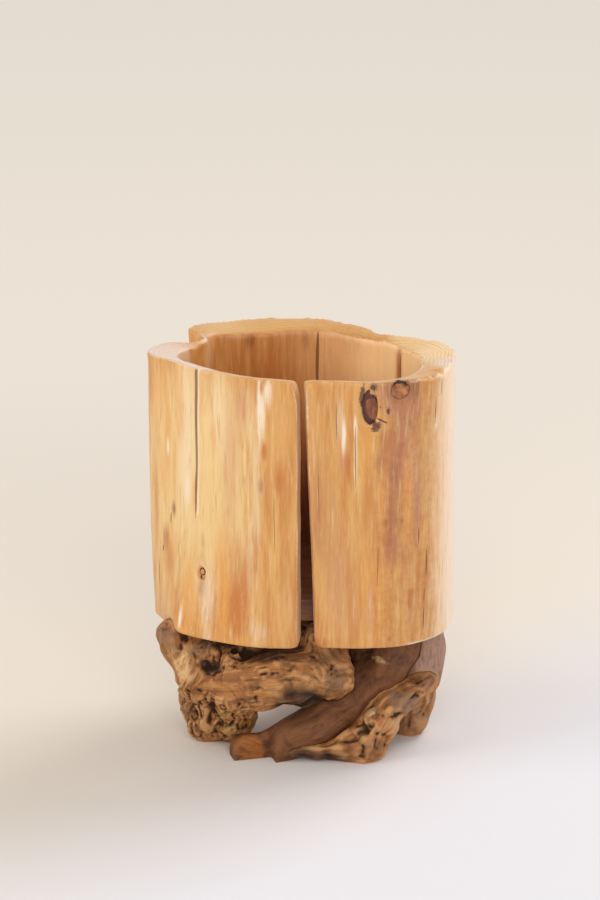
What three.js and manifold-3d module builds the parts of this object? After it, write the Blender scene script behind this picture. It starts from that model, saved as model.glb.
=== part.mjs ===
// A flower vase made from a hollowed log that stands on a gnarled root.
// Millimetres, +Z up, the photographed front faces -Y, and the feet stand on z = 0.
import * as THREE from "three";
import { mergeVertices } from "three/addons/utils/BufferGeometryUtils.js";
import Module from "manifold-3d";

const wasm = await Module();
wasm.setup();

// Driving sizes: the hollow log
const shellWidth = 248;
const shellDepth = 184;
const shellHeight = 226;
const rimFallAngle = 12;
const wallFront = 21;
const wallCorner = 23;
const wallRight = 27;
const wallHollow = 15;
const wallBack = 19;
const wallBackLeft = 25;
const wallNotch = 8;
const wallLeft = 18;

// Driving sizes: the open split at the front, the crack and the closed seam at the back
const splitTopWidth = 12.9;
const splitFootWidth = 17;
const splitTopCentre = -3.4;
const splitFootCentre = 3.9;
const splitTaperLeft = 5;
const splitTaperRight = 1.5;
const crackStation = 35.32;
const crackWidth = 2.4;
const crackFootWidth = 0.6;
const crackDepth = 14;
const crackProud = 4.2;
const crackLength = 122;
const seamAngle = 155.5;
const seamReach = 89;
const seamLength = 87;

// Driving sizes: the floor board inside the log
const floorThickness = 18;
const floorRecess = 16;
const floorClearance = 0.5;

// Driving sizes: the root, its limbs measured across, and the pegs
const rootHeight = 104;
const burlThickness = 60;
const armThickness = 45;
const knobThickness = 24;
const crossThickness = 42;
const rightThickness = 34;
const rearThickness = 26;
const backThickness = 36;
const sawnFootAngle = 15;
const sawnFootLength = 63;
const pegDiameter = 8;
const pegLength = 22;
const floorPegLength = 30;
const floorPegDepth = 10;

// Driving sizes: the dead knots that sit in the log's wall
const knotDepth = 11;
const knotProud = 5.5;
const knotTaper = 0.7;
const upperKnotWidth = 14;
const upperKnotHeight = 34;
const rimKnotWidth = 17;
const rimKnotHeight = 16;
const lowerKnotWidth = 8;
const lowerKnotHeight = 12;

// The gap that touching pieces keep, and how far a cutter reaches past the wood
const gap = 0.3;
const pastWood = 10;

const halfWidth = shellWidth / 2;
const halfDepth = shellDepth / 2;
const rimHeight = rootHeight + shellHeight;
const floorUnderside = rootHeight + floorRecess;
const floorTop = floorUnderside + floorThickness;
const farAway = shellWidth + shellDepth + rimHeight;

// A closed geometry as a solid.
function solid(geometry) {
  geometry.deleteAttribute("normal");
  geometry.deleteAttribute("uv");
  const merged = mergeVertices(geometry, 1e-4);
  const { array } = merged.attributes.position;
  const triVerts = new Uint32Array(merged.index.array);
  return new wasm.Manifold(new wasm.Mesh({ numProp: 3, vertProperties: array, triVerts }));
}

// A skin over a row of closed rings, drawn to a point at each end.
function skin(rings, startPoint, endPoint) {
  const count = rings[0].length;
  const points = [startPoint, ...rings.flat(), endPoint];
  const last = points.length - 1;
  const faces = [];
  for (let j = 0; j < count; j += 1) {
    const next = (j + 1) % count;
    const top = 1 + (rings.length - 1) * count;
    faces.push(0, 1 + next, 1 + j);
    faces.push(last, top + j, top + next);
    for (let i = 0; i < rings.length - 1; i += 1) {
      const low = 1 + i * count;
      const high = low + count;
      faces.push(low + j, low + next, high + next);
      faces.push(low + j, high + next, high + j);
    }
  }
  const geometry = new THREE.BufferGeometry().setFromPoints(points);
  geometry.setIndex(faces);
  return solid(geometry);
}

function box(sizeX, sizeY, sizeZ, centre, turn = 0) {
  const geometry = new THREE.BoxGeometry(sizeX, sizeY, sizeZ);
  geometry.rotateZ(turn);
  geometry.translate(centre.x, centre.y, centre.z);
  return solid(geometry);
}

// The largest of the bodies that a cut leaves: crumbs fall away, as they do at the bench.
function mainBody(made) {
  const bodies = made.decompose();
  return bodies.reduce((best, one) => (one.volume() > best.volume() ? one : best));
}

// The log's outline, anticlockwise from the left edge of the split. Each row holds the rim's
// x and y, the lower edge's x and y, as shares of half the width and depth, and the wall.
const stations = [
  [-0.069, -0.965, -0.081, -0.973, wallFront],
  [0.025, -0.951, 0.04, -0.957, wallFront],
  [0.183, -0.951, 0.194, -0.967, wallFront],
  [0.31, -0.979, 0.317, -0.978, wallFront],
  [0.499, -0.993, 0.51, -0.965, wallFront],
  [0.626, -0.951, 0.641, -0.929, wallCorner],
  [0.75, -0.886, 0.74, -0.857, wallCorner],
  [0.884, -0.75, 0.863, -0.717, wallCorner],
  [0.953, -0.548, 0.952, -0.533, wallCorner],
  [0.994, -0.224, 1.006, -0.196, wallRight],
  [0.999, -0.015, 1.01, 0.022, wallRight],
  [0.956, 0.128, 0.972, 0.15, wallRight],
  [0.867, 0.278, 0.883, 0.3, wallRight],
  [0.716, 0.402, 0.734, 0.423, wallHollow],
  [0.553, 0.489, 0.565, 0.515, wallHollow],
  [0.456, 0.626, 0.468, 0.647, wallHollow],
  [0.338, 0.783, 0.347, 0.804, wallHollow],
  [0.21, 0.918, 0.218, 0.94, wallBack],
  [0.06, 0.987, 0.065, 1.0, wallBack],
  [-0.145, 0.998, -0.145, 1.0, wallBack],
  [-0.34, 0.955, -0.347, 0.967, wallBackLeft],
  [-0.508, 0.88, -0.516, 0.891, wallBackLeft],
  [-0.669, 0.798, -0.669, 0.793, wallBack],
  [-0.735, 0.72, -0.734, 0.717, wallBack],
  [-0.748, 0.596, -0.746, 0.598, wallBack],
  [-0.677, 0.505, -0.677, 0.511, wallNotch],
  [-0.645, 0.397, -0.645, 0.402, wallNotch],
  [-0.661, 0.293, -0.661, 0.293, wallNotch],
  [-0.71, 0.239, -0.71, 0.239, wallNotch],
  [-0.798, 0.25, -0.798, 0.239, wallLeft],
  [-0.879, 0.207, -0.871, 0.196, wallLeft],
  [-0.956, 0.098, -0.935, 0.087, wallLeft],
  [-0.999, -0.075, -0.964, -0.076, wallLeft],
  [-0.935, -0.217, -0.923, -0.217, wallLeft],
  [-0.831, -0.359, -0.871, -0.391, wallLeft],
  [-0.702, -0.543, -0.798, -0.587, wallLeft],
  [-0.556, -0.712, -0.615, -0.76, wallFront],
  [-0.387, -0.837, -0.448, -0.871, wallFront],
  [-0.228, -0.908, -0.281, -0.948, wallFront],
];
const stepsPerStation = 3;
const stationCount = stations.length;
const ringCount = stationCount * stepsPerStation;

function closedCurve(points) {
  return new THREE.CatmullRomCurve3(points, true, "centripetal");
}

// Each point drawn half of the way to the middle of its two neighbours, as a gouge leaves a bore.
function evened(points) {
  return points.map((point, i) => {
    const middle = points.at(i - 1).clone().lerp(points[(i + 1) % points.length], 0.5);
    return point.clone().lerp(middle, 0.5);
  });
}

// The place straight inwards from an outline's point, towards the log's axis.
function inwards(point, distance) {
  return point.clone().multiplyScalar(1 - distance / point.length());
}

const rimPoints = stations.map(([x, y]) => new THREE.Vector3(x * halfWidth, y * halfDepth, 0));
const footPoints = stations.map(
  ([, , x, y]) => new THREE.Vector3(x * halfWidth, y * halfDepth, 0),
);
const rimCurve = closedCurve(rimPoints);
const footCurve = closedCurve(footPoints);

function boreCurve(clearance) {
  const points = stations.map(([, , , , wall], i) => {
    const nearer = rimPoints[i].length() < footPoints[i].length() ? rimPoints[i] : footPoints[i];
    return inwards(nearer, wall + clearance);
  });
  return closedCurve(evened(points));
}

// A point of the log's outside: round runs 0 to 1 along the outline, up runs 0 to 1 to the rim.
function logPoint(round, up) {
  const flare = 1 - (1 - up) ** 4;
  const point = footCurve.getPoint(round).lerp(rimCurve.getPoint(round), flare);
  point.z = rootHeight + shellHeight * up;
  return point;
}

function ring(pointAt) {
  return Array.from({ length: ringCount }, (_, i) => pointAt(i / ringCount));
}

// The whole log, its top sawn and then dished towards the middle.
function logSolid() {
  const levels = [0, 0.06, 0.14, 0.25, 0.45, 0.7, 1];
  const rings = levels.map((up) => ring((round) => logPoint(round, up)));
  const dish = halfWidth * Math.tan(THREE.MathUtils.degToRad(rimFallAngle));
  const lowCentre = new THREE.Vector3(0, 0, rootHeight);
  return skin(rings, lowCentre, new THREE.Vector3(0, 0, rimHeight - dish));
}

// An upright prism that fills the log's bore, less a clearance.
function boreSolid(clearance, bottom, top) {
  const curve = boreCurve(clearance);
  const level = (z) =>
    ring((round) => {
      const point = curve.getPoint(round);
      point.z = z;
      return point;
    });
  const centre = (z) => new THREE.Vector3(0, 0, z);
  return skin([level(bottom), level(top)], centre(bottom), centre(top));
}

// The open split: wider at the foot than at the rim, and narrower inside than outside.
function splitCutter() {
  const outerY = -halfDepth - pastWood;
  const innerY = -halfDepth + wallFront + pastWood;
  const level = (centre, width, z) => [
    new THREE.Vector3(centre - width / 2, outerY, z),
    new THREE.Vector3(centre + width / 2, outerY, z),
    new THREE.Vector3(centre + width / 2 - splitTaperRight, innerY, z),
    new THREE.Vector3(centre - width / 2 + splitTaperLeft, innerY, z),
  ];
  const low = level(splitFootCentre, splitFootWidth, rootHeight - pastWood);
  const high = level(splitTopCentre, splitTopWidth, rimHeight + pastWood);
  const middle = (points) =>
    points.reduce((sum, point) => sum.add(point), new THREE.Vector3()).divideScalar(points.length);
  return skin([low, high], middle(low), middle(high));
}

// The drying crack: a wedge from the rim downwards, open at the bark side.
function crackCutter() {
  const round = crackStation / stationCount;
  const mouth = logPoint(round, 1);
  const outward = outwardAt(round);
  const along = new THREE.Vector3(-outward.y, outward.x, 0);
  const level = (width, z) => {
    const face = logPoint(round, (z - rootHeight) / shellHeight);
    face.z = z;
    const outside = face.clone().addScaledVector(outward, crackProud);
    return [
      face.clone().addScaledVector(outward, -crackDepth),
      outside.clone().addScaledVector(along, -width / 2),
      outside.clone().addScaledVector(along, width / 2),
    ];
  };
  const low = level(crackFootWidth, rimHeight - crackLength);
  const high = level(crackWidth, rimHeight);
  const lift = new THREE.Vector3(0, 0, crackDepth);
  const above = high.map((point) => point.clone().add(lift));
  return skin([low, high, above], low[0].clone().lerp(low[1], 0.5), mouth.add(lift));
}

// Two vertical halves meet at the bottom of the notch.
function seamCutter() {
  const turn = THREE.MathUtils.degToRad(seamAngle);
  const centre = new THREE.Vector3(seamReach, 0, rimHeight / 2);
  centre.applyAxisAngle(new THREE.Vector3(0, 0, 1), turn);
  return box(seamLength, gap, farAway, centre, turn);
}

// The level direction that points away from the wood at a place round the outline.
function outwardAt(round) {
  const tangent = rimCurve.getTangent(round);
  return new THREE.Vector3(tangent.y, -tangent.x, 0).normalize();
}

// The dead knots: how far round the outline and up the log each lies, and its size.
const knots = [
  ["knot_upper", 3.66, 0.905, upperKnotWidth, upperKnotHeight],
  ["knot_rim", 5.05, 0.962, rimKnotWidth, rimKnotHeight],
  ["knot_lower", 35.58, 0.243, lowerKnotWidth, lowerKnotHeight],
];

// A tapered oval plug, square to the wall, that reaches a little past the bark side.
function knotPlug(station, up, width, height, clearance) {
  const round = station / stationCount;
  const length = knotDepth + knotProud + clearance;
  const geometry = new THREE.CylinderGeometry(1, knotTaper, length, 20);
  geometry.scale(width / 2 + clearance, 1, height / 2 + clearance);
  geometry.translate(0, knotProud - length / 2, 0);
  const outward = outwardAt(round);
  const up3 = new THREE.Vector3(0, 0, 1);
  const side = new THREE.Vector3().crossVectors(outward, up3);
  const turn = new THREE.Matrix4().makeBasis(side, outward, up3);
  geometry.applyMatrix4(turn);
  const place = logPoint(round, up);
  geometry.translate(place.x, place.y, place.z);
  return solid(geometry);
}

// A place in the root: shares of half the log's width and depth, and of the root's height.
function rootPlace(x, y, z) {
  return new THREE.Vector3(x * halfWidth, y * halfDepth, z * rootHeight);
}

const limbSides = 14;
const limbStep = 9;
// A limb's end is rounded off in rings at these angles.
const capTilts = [35, 65];
// How far an oval and a three-sided swelling turn from one ring to the next.
const ovalTurn = 0.9;
const threeSidedTurn = 1.3;

// A gnarled limb along a curve. A row holds a place in the root and a share of the thickness.
// Grow makes the same limb a little larger, to cope a neighbour against it.
function limb(rows, thickness, { lumps = 0.1, twist = 0, grow = 0 } = {}) {
  const places = rows.map(([x, y, z]) => rootPlace(x, y, z));
  const curve = new THREE.CatmullRomCurve3(places, false, "centripetal");
  const girth = new THREE.CatmullRomCurve3(
    rows.map(([, , , share]) => new THREE.Vector3(share, 0, 0)),
    false,
    "catmullrom",
  );
  const steps = Math.max(3, Math.round(curve.getLength() / limbStep));
  const frames = curve.computeFrenetFrames(steps, false);
  const radiusAt = (i) => {
    const share = girth.getPoint(curve.getUtoTmapping(i / steps)).x;
    return (share * thickness) / 2 + grow;
  };
  const ringAt = (i, ahead, scale) => {
    const centre = curve.getPointAt(i / steps).addScaledVector(frames.tangents[i], ahead);
    return Array.from({ length: limbSides }, (_, j) => {
      const around = (2 * Math.PI * j) / limbSides;
      const oval = Math.sin(2 * around + ovalTurn * i + twist);
      const threeSided = Math.sin(3 * around - threeSidedTurn * i + 2 * twist);
      const radius = radiusAt(i) * scale * (1 + 0.5 * lumps * (oval + threeSided));
      return centre
        .clone()
        .addScaledVector(frames.normals[i], radius * Math.cos(around))
        .addScaledVector(frames.binormals[i], radius * Math.sin(around));
    });
  };
  const cap = capTilts.map((degrees) => THREE.MathUtils.degToRad(degrees));
  const rings = [];
  for (const tilt of [...cap].reverse()) {
    rings.push(ringAt(0, -radiusAt(0) * Math.sin(tilt), Math.cos(tilt)));
  }
  for (let i = 0; i <= steps; i += 1) {
    rings.push(ringAt(i, 0, 1));
  }
  for (const tilt of cap) {
    rings.push(ringAt(steps, radiusAt(steps) * Math.sin(tilt), Math.cos(tilt)));
  }
  const start = places[0].clone().addScaledVector(frames.tangents[0], -radiusAt(0));
  const end = places.at(-1).clone().addScaledVector(frames.tangents[steps], radiusAt(steps));
  return skin(rings, start, end);
}

function joined(solids) {
  return solids.reduce((whole, one) => whole.add(one));
}

// The left burl: a swollen body on one foot, a crown under the floor board, and the arm that
// runs across the front.
function burlSolid(grow) {
  const body = [
    [-0.63, -0.33, 0.86, 0.83],
    [-0.64, -0.35, 0.67, 0.92],
    [-0.61, -0.35, 0.48, 0.82],
    [-0.62, -0.28, 0.28, 0.74],
    [-0.57, -0.2, 0.09, 0.6],
  ];
  const skirt = [
    [-0.5, -0.42, 0.6, 0.72],
    [-0.44, -0.42, 0.4, 0.7],
    [-0.45, -0.3, 0.12, 0.48],
  ];
  const crown = [
    [-0.56, -0.24, 0.82, 0.74],
    [-0.42, -0.2, 1.01, 0.66],
    [-0.39, -0.17, 1.25, 0.54],
  ];
  const arm = [
    [-0.5, -0.52, 0.57, 1.05],
    [-0.32, -0.62, 0.62, 1.12],
    [-0.1, -0.68, 0.68, 1.06],
    [0.09, -0.69, 0.71, 0.98],
    [0.2, -0.68, 0.68, 0.84],
  ];
  const lobe = [
    [0.21, -0.6, 0.59, 0.6],
    [0.19, -0.67, 0.75, 0.76],
    [0.14, -0.61, 0.92, 0.85],
  ];
  const shoulder = [
    [-0.5, -0.4, 0.84, 0.5],
    [-0.24, -0.46, 0.86, 0.46],
    [0.05, -0.46, 0.88, 0.45],
    [0.16, -0.5, 0.8, 0.45],
  ];
  return joined([
    limb(body, burlThickness, { lumps: 0.14, twist: 1, grow }),
    limb(skirt, burlThickness, { lumps: 0.14, twist: 6, grow }),
    limb(crown, burlThickness, { twist: 2, grow }),
    limb(arm, armThickness, { lumps: 0.12, twist: 3, grow }),
    limb(lobe, armThickness, { twist: 4, grow }),
    limb(shoulder, burlThickness, { twist: 0.5, grow }),
  ]);
}

// The burl's knob stands outside the log, which is scribed round it.
function knobSolid(grow) {
  const knob = [
    [-0.86, -0.41, 0.95, 1],
    [-0.84, -0.4, 0.83, 0.95],
    [-0.76, -0.38, 0.68, 1],
  ];
  return limb(knob, knobThickness, { twist: 5, grow });
}

// The smooth dark limb that crosses the front, from its sawn foot up to the right.
function crossSolid(grow) {
  const body = [
    [-0.36, -0.68, 0.04, 0.78],
    [-0.24, -0.68, 0.05, 0.76],
    [-0.1, -0.65, 0.13, 0.82],
    [0.11, -0.57, 0.24, 0.92],
    [0.27, -0.51, 0.37, 0.9],
    [0.4, -0.46, 0.51, 0.92],
    [0.54, -0.42, 0.66, 1],
    [0.62, -0.39, 0.85, 1.06],
  ];
  const crown = [
    [0.5, -0.42, 0.67, 0.8],
    [0.4, -0.28, 0.91, 0.8],
    [0.35, -0.22, 1.25, 0.7],
  ];
  const heel = [
    [0.3, -0.44, 0.42, 0.6],
    [0.27, -0.27, 0.6, 0.7],
    [0.34, -0.24, 0.85, 0.75],
  ];
  const turn = THREE.MathUtils.degToRad(sawnFootAngle);
  const corner = rootPlace(-0.44, -0.78, 0);
  const block = crossThickness * 2;
  const front = new THREE.Vector3(Math.sin(turn), -Math.cos(turn), 0).multiplyScalar(block / 2 - grow);
  const left = new THREE.Vector3(-Math.cos(turn), -Math.sin(turn), 0).multiplyScalar(block / 2 - grow);
  const saw = joined([
    box(block, block, block, corner.clone().add(left), turn),
    box(sawnFootLength, block, block, corner.clone().add(front), turn),
  ]);
  return joined([
    limb(body, crossThickness, { lumps: 0.06, twist: 1.5, grow }),
    limb(crown, crossThickness, { twist: 2.5, grow }),
    limb(heel, crossThickness, { twist: 3.5, grow }),
  ]).subtract(saw);
}

// The right limb: a low ledge, the front foot, and the elbow that climbs to the right.
function rightSolid(grow) {
  const body = [
    [-0.06, -0.77, 0.09, 0.34],
    [0.16, -0.76, 0.08, 0.42],
    [0.29, -0.72, 0.09, 0.75],
    [0.39, -0.69, 0.1, 1.05],
    [0.47, -0.67, 0.2, 1.08],
    [0.55, -0.62, 0.35, 0.98],
    [0.65, -0.55, 0.45, 0.82],
    [0.75, -0.46, 0.49, 0.72],
    [0.82, -0.39, 0.54, 0.55],
  ];
  return limb(body, rightThickness, { lumps: 0.12, twist: 0.4, grow });
}

// The rear limb: from the rear foot up to the lobe that shows at the right.
function rearSolid(grow) {
  const body = [
    [0.73, -0.09, 0.08, 1.12],
    [0.76, -0.13, 0.26, 1.1],
    [0.8, -0.24, 0.48, 1.15],
    [0.82, -0.26, 0.65, 1.18],
    [0.82, -0.28, 0.85, 1.25],
    [0.8, -0.28, 0.98, 1.25],
  ];
  return limb(body, rearThickness, { lumps: 0.1, twist: 3.3, grow });
}

// The back limb: an arch behind the others, with its own leg and a crown under the floor.
function backSolid() {
  const arch = [
    [-0.58, -0.04, 0.63, 1.1],
    [-0.36, 0.17, 0.81, 1.1],
    [-0.06, 0.33, 0.88, 1.15],
    [0.24, 0.31, 0.87, 1.05],
    [0.5, 0.13, 0.75, 1.05],
    [0.7, -0.02, 0.63, 1],
  ];
  const leg = [
    [0.04, 0.35, 0.77, 1],
    [0.08, 0.47, 0.43, 1.05],
    [0.1, 0.6, 0.12, 1.15],
  ];
  const crown = [
    [0.04, 0.35, 0.91, 0.9],
    [0.05, 0.33, 1.25, 0.7],
  ];
  return joined([
    limb(arch, backThickness, { lumps: 0.12, twist: 0.7 }),
    limb(leg, backThickness, { lumps: 0.1, twist: 1.9 }),
    limb(crown, backThickness, { twist: 2.9 }),
  ]);
}

// A round peg along the line between two places, centred where the two pieces meet.
function pegSolid(from, to, meets, length, clearance) {
  const axis = to.clone().sub(from).normalize();
  const radius = pegDiameter / 2 + clearance;
  const geometry = new THREE.CylinderGeometry(radius, radius, length + 2 * clearance, 16);
  const turn = new THREE.Quaternion().setFromUnitVectors(new THREE.Vector3(0, 1, 0), axis);
  geometry.applyQuaternion(turn);
  const centre = from.clone().lerp(to, meets);
  geometry.translate(centre.x, centre.y, centre.z);
  return solid(geometry);
}

// The limb pegs: a name, the two places, and where between them the pieces meet.
const limbPegs = [
  ["peg_burl_cross", rootPlace(0.21, -0.6, 0.62), rootPlace(0.28, -0.5, 0.38), 0.6],
  ["peg_cross_right", rootPlace(0.55, -0.62, 0.34), rootPlace(0.41, -0.46, 0.53), 0.38],
  ["peg_right_rear", rootPlace(0.72, -0.48, 0.48), rootPlace(0.8, -0.24, 0.5), 0.64],
  ["peg_cross_rear", rootPlace(0.61, -0.39, 0.82), rootPlace(0.82, -0.28, 0.82), 0.68],
  ["peg_burl_back", rootPlace(-0.64, -0.33, 0.68), rootPlace(-0.4, 0.14, 0.78), 0.58],
  ["peg_rear_back", rootPlace(0.825, -0.28, 0.68), rootPlace(0.66, -0.02, 0.73), 0.42],
];

// The floor pegs: a name and the crown that each stands in.
const floorPegs = [
  ["peg_floor_left", rootPlace(-0.4, -0.18, 0)],
  ["peg_floor_right", rootPlace(0.36, -0.23, 0)],
  ["peg_floor_back", rootPlace(0.05, 0.34, 0)],
];

function floorPegSolid(place, clearance) {
  const top = floorUnderside + floorPegDepth;
  const from = place.clone().setZ(top - floorPegLength);
  return pegSolid(from, place.clone().setZ(top), 0.5, floorPegLength, clearance);
}

const pegs = [];
for (const [name, from, to, meets] of limbPegs) {
  pegs.push({
    name,
    peg: pegSolid(from, to, meets, pegLength, 0),
    hole: pegSolid(from, to, meets, pegLength, gap),
  });
}
for (const [name, place] of floorPegs) {
  pegs.push({ name, peg: floorPegSolid(place, 0), hole: floorPegSolid(place, gap) });
}
const pegHoles = joined(pegs.map(({ hole }) => hole));

// What the root may fill: below the log's lower edge, and up its bore as far as the floor.
const rootSpace = box(
  farAway,
  farAway,
  rootHeight - gap,
  new THREE.Vector3(0, 0, (rootHeight - gap) / 2),
).add(boreSolid(floorClearance, rootHeight / 2, floorUnderside - gap));
const aboveGround = box(farAway, farAway, farAway, new THREE.Vector3(0, 0, farAway / 2));

const burl = burlSolid(0).intersect(rootSpace).add(knobSolid(0).intersect(aboveGround));
const burlGrown = burlSolid(gap).add(knobSolid(gap));
const cross = crossSolid(0).intersect(rootSpace).subtract(burlGrown);
const taken = burlGrown.add(crossSolid(gap));
const right = rightSolid(0).intersect(rootSpace).subtract(taken);
const takenRight = taken.add(rightSolid(gap));
const rear = rearSolid(0).intersect(rootSpace).subtract(takenRight);
const takenRear = takenRight.add(rearSolid(gap));
const back = backSolid().intersect(rootSpace).subtract(takenRear);

const log = logSolid();
const knotSolids = knots.map(([name, station, up, width, height]) => ({
  name,
  knot: knotPlug(station, up, width, height, 0).intersect(log),
  pocket: knotPlug(station, up, width, height, gap),
}));
const shell = log
  .subtract(boreSolid(0, rootHeight / 2, rimHeight + shellHeight))
  .subtract(splitCutter())
  .subtract(crackCutter())
  .subtract(seamCutter())
  .subtract(knobSolid(gap))
  .subtract(joined(knotSolids.map(({ pocket }) => pocket)));
const staves = shell.decompose().sort((a, b) => b.volume() - a.volume());
const floorBoard = boreSolid(floorClearance, floorUnderside, floorTop).subtract(pegHoles);

const finishes = {
  sapwood: { color: 0xe6bd82, roughness: 0.55, metalness: 0 },
  knotwood: { color: 0x5a2a18, roughness: 0.6, metalness: 0 },
  boardwood: { color: 0xa96b38, roughness: 0.65, metalness: 0 },
  rootwood: { color: 0x8a5a38, roughness: 0.7, metalness: 0 },
  darkroot: { color: 0x5c3a24, roughness: 0.6, metalness: 0 },
  pegwood: { color: 0xcfa870, roughness: 0.6, metalness: 0 },
};

const vase = new THREE.Group();

function addPiece(name, made, finish) {
  const { vertProperties, triVerts, numProp } = made.getMesh();
  const geometry = new THREE.BufferGeometry();
  geometry.setAttribute("position", new THREE.BufferAttribute(vertProperties, numProp));
  geometry.setIndex(new THREE.BufferAttribute(triVerts, 1));
  geometry.computeVertexNormals();
  const piece = new THREE.Mesh(geometry, new THREE.MeshStandardMaterial(finishes[finish]));
  piece.name = name;
  vase.add(piece);
}

addPiece("shell_right", mainBody(staves[0]), "sapwood");
addPiece("shell_left", mainBody(staves[1]), "sapwood");
for (const { name, knot } of knotSolids) {
  addPiece(name, mainBody(knot), "knotwood");
}
addPiece("floor_board", floorBoard, "boardwood");
addPiece("root_burl", mainBody(burl.subtract(pegHoles)), "rootwood");
addPiece("root_cross_limb", mainBody(cross.subtract(pegHoles)), "darkroot");
addPiece("root_right_limb", mainBody(right.subtract(pegHoles)), "rootwood");
addPiece("root_rear_limb", mainBody(rear.subtract(pegHoles)), "rootwood");
addPiece("root_back_limb", mainBody(back.subtract(pegHoles)), "rootwood");
for (const { name, peg } of pegs) {
  addPiece(name, peg, "pegwood");
}

// The origin lies on the ground under the middle of the whole vase.
const extent = new THREE.Box3().setFromObject(vase);
const middle = extent.getCenter(new THREE.Vector3());
vase.position.set(-middle.x, -middle.y, 0);

export default vase;
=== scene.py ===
# %% [markdown]
# # A wooden vase: a hollow log on a gnarled root
# The CAD model gives every piece its true place and size. This lesson gives them the look of real wood.
# The log's two staves, the knots and the root's limbs are carved again as fine surfaces, because a saw and
# a brush leave ripples, cracks and ridges that a CAD solid leaves plain. Each finish is made of noise and
# of a few numbers that are written on the surface, so nothing is painted from a picture.

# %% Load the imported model
import itertools
import math

import bmesh
import bpy
import numpy as np
from mathutils import Matrix, Vector
from mathutils.bvhtree import BVHTree
from mathutils.kdtree import KDTree


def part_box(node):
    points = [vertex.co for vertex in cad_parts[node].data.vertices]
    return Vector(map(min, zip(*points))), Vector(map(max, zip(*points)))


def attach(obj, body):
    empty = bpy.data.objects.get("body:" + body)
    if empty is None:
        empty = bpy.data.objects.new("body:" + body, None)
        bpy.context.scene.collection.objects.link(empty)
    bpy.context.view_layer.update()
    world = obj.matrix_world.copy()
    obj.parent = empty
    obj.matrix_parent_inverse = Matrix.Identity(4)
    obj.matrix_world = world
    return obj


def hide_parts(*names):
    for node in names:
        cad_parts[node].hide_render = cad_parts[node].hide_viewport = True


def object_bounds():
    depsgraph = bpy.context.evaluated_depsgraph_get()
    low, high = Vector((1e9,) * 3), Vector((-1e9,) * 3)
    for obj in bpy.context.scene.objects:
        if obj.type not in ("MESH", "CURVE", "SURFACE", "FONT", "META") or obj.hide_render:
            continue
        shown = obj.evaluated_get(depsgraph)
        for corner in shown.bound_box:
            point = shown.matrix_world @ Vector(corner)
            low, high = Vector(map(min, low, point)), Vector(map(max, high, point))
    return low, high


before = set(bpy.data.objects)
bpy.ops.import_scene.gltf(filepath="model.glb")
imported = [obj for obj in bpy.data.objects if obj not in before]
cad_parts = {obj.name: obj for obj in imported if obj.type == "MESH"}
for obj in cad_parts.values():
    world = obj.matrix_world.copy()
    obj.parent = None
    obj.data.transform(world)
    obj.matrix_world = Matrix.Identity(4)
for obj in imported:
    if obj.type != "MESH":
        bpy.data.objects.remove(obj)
cad_box = [list(corner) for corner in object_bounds()]
MM = 0.001
lowest, highest = (np.array(corner) / MM for corner in cad_box)
print("CAD box in mm:", lowest.round(1), highest.round(1))

# %% [markdown]
# ## The camera
# The photograph looks down at the vase from a little above the rim, through a long lens. A long lens keeps
# the log's sides nearly parallel, so the camera stands three metres back.

# %% Place the camera
LOOKS_DOWN = 18.4  # degrees below level
scene = bpy.context.scene
lens = bpy.data.cameras.new("camera")
lens.lens = 160
lens.clip_end = 50
camera = bpy.data.objects.new("camera", lens)
camera.location = (-0.001703, -3.081998, 1.268100)
camera.rotation_euler = (math.radians(90 - LOOKS_DOWN), 0, 0)
scene.collection.objects.link(camera)
scene.camera = camera
scene.view_settings.view_transform = "Standard"

# %% [markdown]
# ## Small helpers for nodes
# Every material here is a small tree of nodes. One helper adds a node and fills its sockets, either with a
# plain value or with a wire from another node, so that each finish reads as a short list.

# %% Colours and node helpers
def paint(red, green, blue):
    """A colour as it looks on a screen, from 0 to 255, as the linear colour that a shader takes."""
    parts = [c / 255 for c in (red, green, blue)]
    linear = [c / 12.92 if c <= 0.04045 else ((c + 0.055) / 1.055) ** 2.4 for c in parts]
    return (*linear, 1.0)


def fill(tree, node, inputs):
    """Sets each named or numbered socket to a value, or wires another node's socket to it."""
    for key, value in inputs.items():
        if isinstance(value, bpy.types.NodeSocket):
            tree.links.new(value, node.inputs[key])
        else:
            node.inputs[key].default_value = value
    return node


def add(tree, kind, settings, inputs):
    """Adds a node, with its settings and its sockets filled in."""
    node = tree.nodes.new("ShaderNode" + kind)
    for name, value in settings.items():
        setattr(node, name, value)
    return fill(tree, node, inputs)


def sum_of(tree, operation, first, second=0.0, third=0.0):
    """One step of arithmetic."""
    return add(tree, "Math", {"operation": operation}, {0: first, 1: second, 2: third}).outputs[0]


def times(tree, first, second):
    """The product of two values."""
    return sum_of(tree, "MULTIPLY", first, second)


def times_plus(tree, first, factor, extra):
    """The first value times a factor, plus an extra."""
    return sum_of(tree, "MULTIPLY_ADD", first, factor, extra)


def stepped(tree, value, low, high, to_low=0.0, to_high=1.0):
    """A soft step: to_low below low, to_high above high."""
    settings = {"interpolation_type": "SMOOTHSTEP"}
    inputs = {0: value, 1: low, 2: high, 3: to_low, 4: to_high}
    return add(tree, "MapRange", settings, inputs).outputs[0]


def blended(tree, share, first, second, how="MIX"):
    """Two colours mixed by a share from 0 to 1."""
    node = add(tree, "Mix", {"data_type": "RGBA", "blend_type": how, "clamp_factor": True}, {0: share})
    fill(tree, node, {6: first, 7: second})
    return node.outputs[2]


def noise(tree, vector, scale, detail=2.0, roughness=0.5, warp=0.0):
    """Soft noise from 0 to 1. Scale counts its lumps in a metre of the object, or in a mm of the grain."""
    inputs = {"Vector": vector, "Scale": scale, "Detail": detail, "Roughness": roughness, "Distortion": warp}
    return add(tree, "TexNoise", {"noise_dimensions": "3D"}, inputs).outputs[0]


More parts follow.
